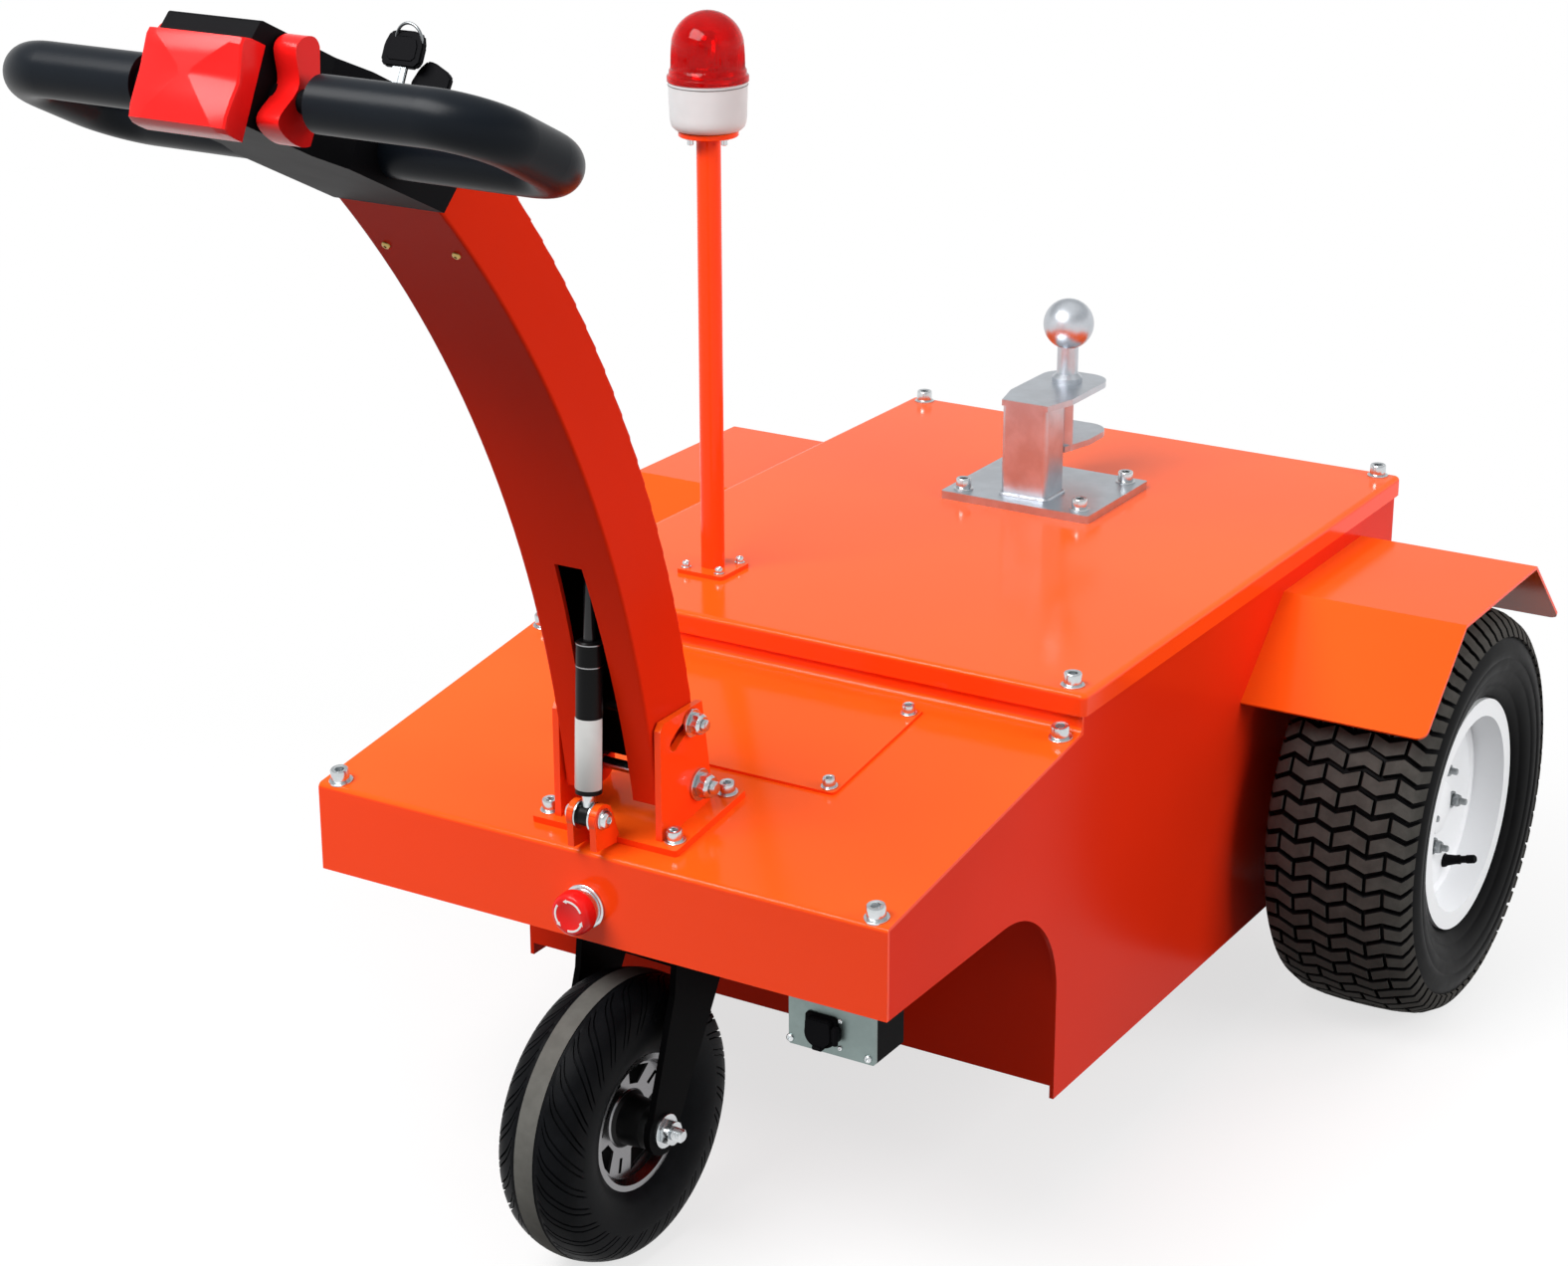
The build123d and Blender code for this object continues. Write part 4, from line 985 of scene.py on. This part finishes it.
class TUG_OT_charger(bpy.types.Operator):
    """Adds the charging socket's hinged cover, latch and screws"""
    bl_idname = "tug.charger"
    bl_label = "Charging socket"

    def execute(self, context):
        m = stand(at(212, 20, 272), AHEAD)
        side = (m.to_3x3() @ Vector((1, 0, 0))).x
        top = (m.to_3x3() @ Vector((0, 1, 0))).z
        flip = Matrix.Diagonal((math.copysign(1, side), math.copysign(1, top), 1, 1))
        plate = m @ flip
        m = plate @ Matrix.Translation(Vector((-4, -1, 0)) * MM) @ Matrix.Diagonal((0.82, 0.82, 1, 1))
        bm = bmesh.new()
        rim = arc(18, range(180, 361, 9))
        slab(bm, [(18, 15), (15, 18), (-15, 18), (-18, 15)] + rim, m, -0.2, 2.2, 0.6)
        cover = arc(14.2, range(180, 361, 9))
        slab(bm, [(14.2, 12), (12, 14.6), (-12, 14.6), (-14.2, 12)] + cover, m, 2, 8.4, 1.6)
        slab(bm, [(13, -6), (20.5, -6), (21.5, -4), (21.5, 7), (20.5, 9), (13, 9)], m, -0.2, 7.0, 1.2)
        slab(bm, [(-6, -17.5), (6, -17.5), (5, -12), (-5, -12)], m, 2, 9.6, 1.0)
        hose(bm, [m @ (Vector((19, y, 6.2)) * MM) for y in (-8, -3, 4, 11)], 2.4 * MM, 12)
        obj = piece("socket_cover", bm, "hull", finish_of("black_moulding"))
        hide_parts("charge_socket")
        bm = bmesh.new()
        for x in (-33.5, 38):
            for y in (-15, 28):
                button_screw(bm, plate @ (Vector((x, y, 0.05)) * MM), AHEAD, 3.4)
        for x, y in ((20, 15), (20, -14)):
            button_screw(bm, m @ (Vector((x, y, 0.05)) * MM), AHEAD, 2.2)
        piece("charge_screws", bm, "hull", finish_of("screw_zinc"))
        return {"FINISHED"}


class TUG_OT_beacon(bpy.types.Operator):
    """Replaces the beacon by a ribbed hollow dome with its lamp, a moulded base and a mounting disc"""
    bl_idname = "tug.beacon"
    bl_label = "Beacon"

    def execute(self, context):
        m = Matrix.Translation(at(BEACON_X, BEACON_Y, 0))
        bm = bmesh.new()
        ribs, n = 60, 240
        outer = [(36.5, 923.4), (36.5, 927.4), (36.1, 928.2), (34.6, 928.8), (34.4, 933), (33.4, 934), (33.0, 936),
                 (32.9, 940), (32.75, 946), (32.4, 952), (32.0, 956)]
        crown = [(32.5 * math.cos(math.radians(a)), 952.5 + 32.3 * math.sin(math.radians(a)))
                 for a in (9, 15, 22, 30, 38, 46, 54, 62, 70, 78, 85)]
        rows = []
        for r, z in outer + crown:
            rib = 0.45 * clamp((z - 934.5) / 2) * clamp((957 - z) / 2)
            rows.append([m @ ((Vector((math.cos(a), math.sin(a), 0)) * (r + rib * math.cos(ribs * a) - rib)
                               + UP * z) * MM) for a in around(n)])
        for r, z in reversed(outer[:1] + outer[5:] + crown):
            low = z - (1.8 if z > 960 else 0)
            rows.append([m @ ((Vector((math.cos(a), math.sin(a), 0)) * max(0.6, r - 2.4) + UP * low) * MM)
                         for a in around(n)])
        middle = len(outer) + len(crown)
        rows = rows[:middle], rows[middle:]
        for shell, top in ((rows[0], 984.9), (rows[1], 982.6)):
            verts = woven(bm, shell, closed_columns=True)
            rim = verts[-1] if top > 984 else verts[0]
            tip = bm.verts.new(m @ (UP * top * MM))
            for k in range(n):
                bm.faces.new((rim[k], rim[(k + 1) % n], tip))
            if top > 984:
                foot = verts[0]
            else:
                for k in range(n):
                    j = (k + 1) % n
                    bm.faces.new((foot[k], foot[j], verts[-1][j], verts[-1][k]))
        obj = piece("beacon_dome", bm, "hull", finish_of("lens_red"), 50)
        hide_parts("beacon_lens")
        bm = bmesh.new()
        turned_mm(bm, [(0, 924), (29, 924), (29, 927), (24, 928), (20, 934), (14, 936), (12, 936)], m, 48)
        turned_mm(bm, [(12, 936), (12, 940), (10, 941), (10, 958), (8.4, 963), (5, 966), (0, 966.6)], m, 32)
        piece("beacon_lamp", bm, "hull", make_zinc("reflector", srgb(226, 222, 214), 0.16))
        bm = bmesh.new()
        turned_mm(bm, [(0, 879.2), (24, 879.2), (29.5, 880.4), (32.4, 883), (33.9, 887), (34.4, 892), (35.3, 918),
                       (35.5, 920), (35.5, 922.6), (34.8, 923.4), (0, 923.4)], m, 72)
        obj = piece("beacon_case", bm, "hull", finish_of("beacon_white"), 30)
        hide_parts("beacon_base")
        bm = bmesh.new()
        turned_mm(bm, [(35.4, 919.6), (35.75, 919.8), (35.75, 920.5), (35.4, 920.7)], m, 72)
        piece("beacon_seam", bm, "hull", make_plastic("seam_grey", srgb(120, 118, 118), 0.5))
        bm = bmesh.new()
        turned_mm(bm, [(10.9, 872.6), (13, 874.2), (26.4, 874.4), (27, 875), (27, 878.6), (26.4, 879.2),
                       (10.9, 879.2)], m, 56)
        piece("beacon_disc", bm, "hull", finish_of("hull_paint_and_upright_shade"))
        bm = bmesh.new()
        for a in (-1.9, -0.25, 1.85):
            spot = m @ (Vector((20.5 * math.cos(a), 20.5 * math.sin(a), 874.4)) * MM)
            turned_mm(bm, [(0, 0), (4.2, 0), (4.2, 1), (2.9, 1.2), (2.9, 5.4), (2.2, 6), (0, 6)],
                      stand(spot, -UP), 16)
        piece("beacon_bolts", bm, "hull", finish_of("screw_zinc"))
        return {"FINISHED"}


class TUG_OT_head(bpy.types.Operator):
    """Replaces the belly button by its facetted shell and the key by keys on a ring, and adds the head's trim"""
    bl_idname = "tug.head"
    bl_label = "Tiller head"

    def execute(self, context):
        self.belly()
        self.keys()
        return {"FINISHED"}

    def belly(self):
        """A thin shell whose ends fall away behind creases bent in at half its height, more on the left side."""
        stations = [(-11, 9, 33), (-10.4, 15.5, 32), (-8, 20.2, 30), (0, 22.2, 24), (12, 22.6, 14), (22, 22.8, 4),
                    (27, 22.8, 6), (36, 22.7, 17), (46, 22.4, 30), (50.6, 20.6, 34), (52, 15, 35)]
        rows = []
        for t, ahead, crease in stations:
            slope = (38 - crease) * 0.22
            half = [(crease - 1.5, 0), (crease, 0.1), (crease + 1.2, 0.5), (37.4, slope), (38.8, slope + 1.2),
                    (39.4, slope + 3)]
            row = [(-x, back * 0.35) for x, back in reversed(half)] + half
            rows.append([on_head(x, 210 + max(ahead - back, 1), t) for x, back in row])
        base = [[on_head(x, 209, t) for x in (-39.4, -38.8, -37.4, -20, -12, -6, 6, 12, 20, 37.4, 38.8, 39.4)]
                for t in (-11, 52)]
        bm = bmesh.new()
        woven(bm, [base[0]] + rows + [base[1]])
        for k in (0, -1):
            edge = [base[0][k]] + [row[k] for row in rows] + [base[1][k]]
            bm.faces.new([bm.verts.new(p) for p in edge])
        bmesh.ops.remove_doubles(bm, verts=bm.verts, dist=1e-6)
        obj = piece("belly_shell", bm, "tiller", finish_of("control_red"), 24)
        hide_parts("belly_button")

    def keys(self):
        c, n = math.cos(HEAD_TILT), math.sin(HEAD_TILT)
        ahead, over = Vector((0, -c, n)), Vector((0, n, c))
        front = Matrix.Translation(on_head(10, 33.2, 66)) @ Matrix((LEFT, over, ahead)).transposed().to_4x4()
        bm = bmesh.new()
        bow = [(-13, 22), (13, 22), (17, 26), (17, 38), (14, 46), (8, 48), (-8, 48), (-14, 46), (-17, 38), (-17, 26)]
        slab(bm, bow, front, -0.6, 4.6, 1.4)
        slab(bm, [(x * 0.72, 35 + (y - 35) * 0.66) for x, y in bow], front, 4.2, 5.2, 0.5)
        second = front @ Matrix.Translation(Vector((23, 16, -7)) * MM) @ Matrix.Rotation(math.radians(-24), 4, "Z")
        slab(bm, [(x * 0.9, (y - 35) * 0.95) for x, y in bow], second, -2, 2.4, 1.2)
        obj = piece("key_bows", bm, "tiller", finish_of("black_moulding"))
        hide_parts("key")
        bm = bmesh.new()
        slab(bm, [(-6, 2), (6, 2), (6, 23), (-6, 23)], front, 0.6, 3.4, 0.5)
        slab(bm, [(-1.6, 2.5), (1.6, 2.5), (1.6, 22), (-1.6, 22)], front, 3.2, 3.7, 0.2)
        ring = [front @ (Vector((11 * math.cos(a) + 3, 41 + 11 * math.sin(a), 3 + 5 * math.sin(a))) * MM)
                for a in around(40)]
        hose(bm, ring, 1.1 * MM, 10, closed=True)
        m = stand(on_head(10, 35, 66), over)
        turned_mm(bm, [(8.4, 5.6), (8.4, 6.4), (10.6, 6.4), (11.6, 5), (14, 4.2), (15.5, 1.2), (15.5, -0.4)], m, 40)
        piece("key_metal", bm, "tiller", finish_of("stud_grey"))
        bm = bmesh.new()
        for side in (-1, 1):
            m = stand(on_head(side * 38, 183, 25), LEFT * side)
            turned_mm(bm, [(11, 0), (11, 3), (8, 4), (8, 31), (13, 32), (13, 35)], m, 32)
        piece("grip_stubs", bm, "tiller", finish_of("black_moulding"))


class TUG_PT_panel(bpy.types.Panel):
    """Lists the dressing steps and their settings"""
    bl_idname = "TUG_PT_panel"
    bl_label = "Baggage tug"
    bl_space_type = "VIEW_3D"
    bl_region_type = "UI"
    bl_category = "Tug"

    def draw(self, context):
        for step in STEPS:
            self.layout.operator(step.bl_idname)
        for group in GROUPS:
            settings = getattr(context.scene, group)
            for key in settings.__annotations__:
                self.layout.prop(settings, key)


GROUPS = {"tug_paint": TugPaint, "tug_tyres": TugTyres, "tug_stage": TugStage}
STEPS = (TUG_OT_stage, TUG_OT_finishes, TUG_OT_drive_tyres, TUG_OT_castor_tyre, TUG_OT_rims, TUG_OT_screws,
         TUG_OT_gas_spring, TUG_OT_stop_button, TUG_OT_charger, TUG_OT_beacon, TUG_OT_head)
CLASSES = (*GROUPS.values(), *STEPS, TUG_PT_panel)


def register():
    for cls in CLASSES:
        bpy.utils.register_class(cls)
    for name, group in GROUPS.items():
        setattr(bpy.types.Scene, name, PointerProperty(type=group))


def unregister():
    for name in GROUPS:
        delattr(bpy.types.Scene, name)
    for cls in reversed(CLASSES):
        bpy.utils.unregister_class(cls)


def main():
    register()
    for step in STEPS:
        group, name = step.bl_idname.split(".")
        getattr(getattr(bpy.ops, group), name)()


if __name__ == "__main__":
    main()
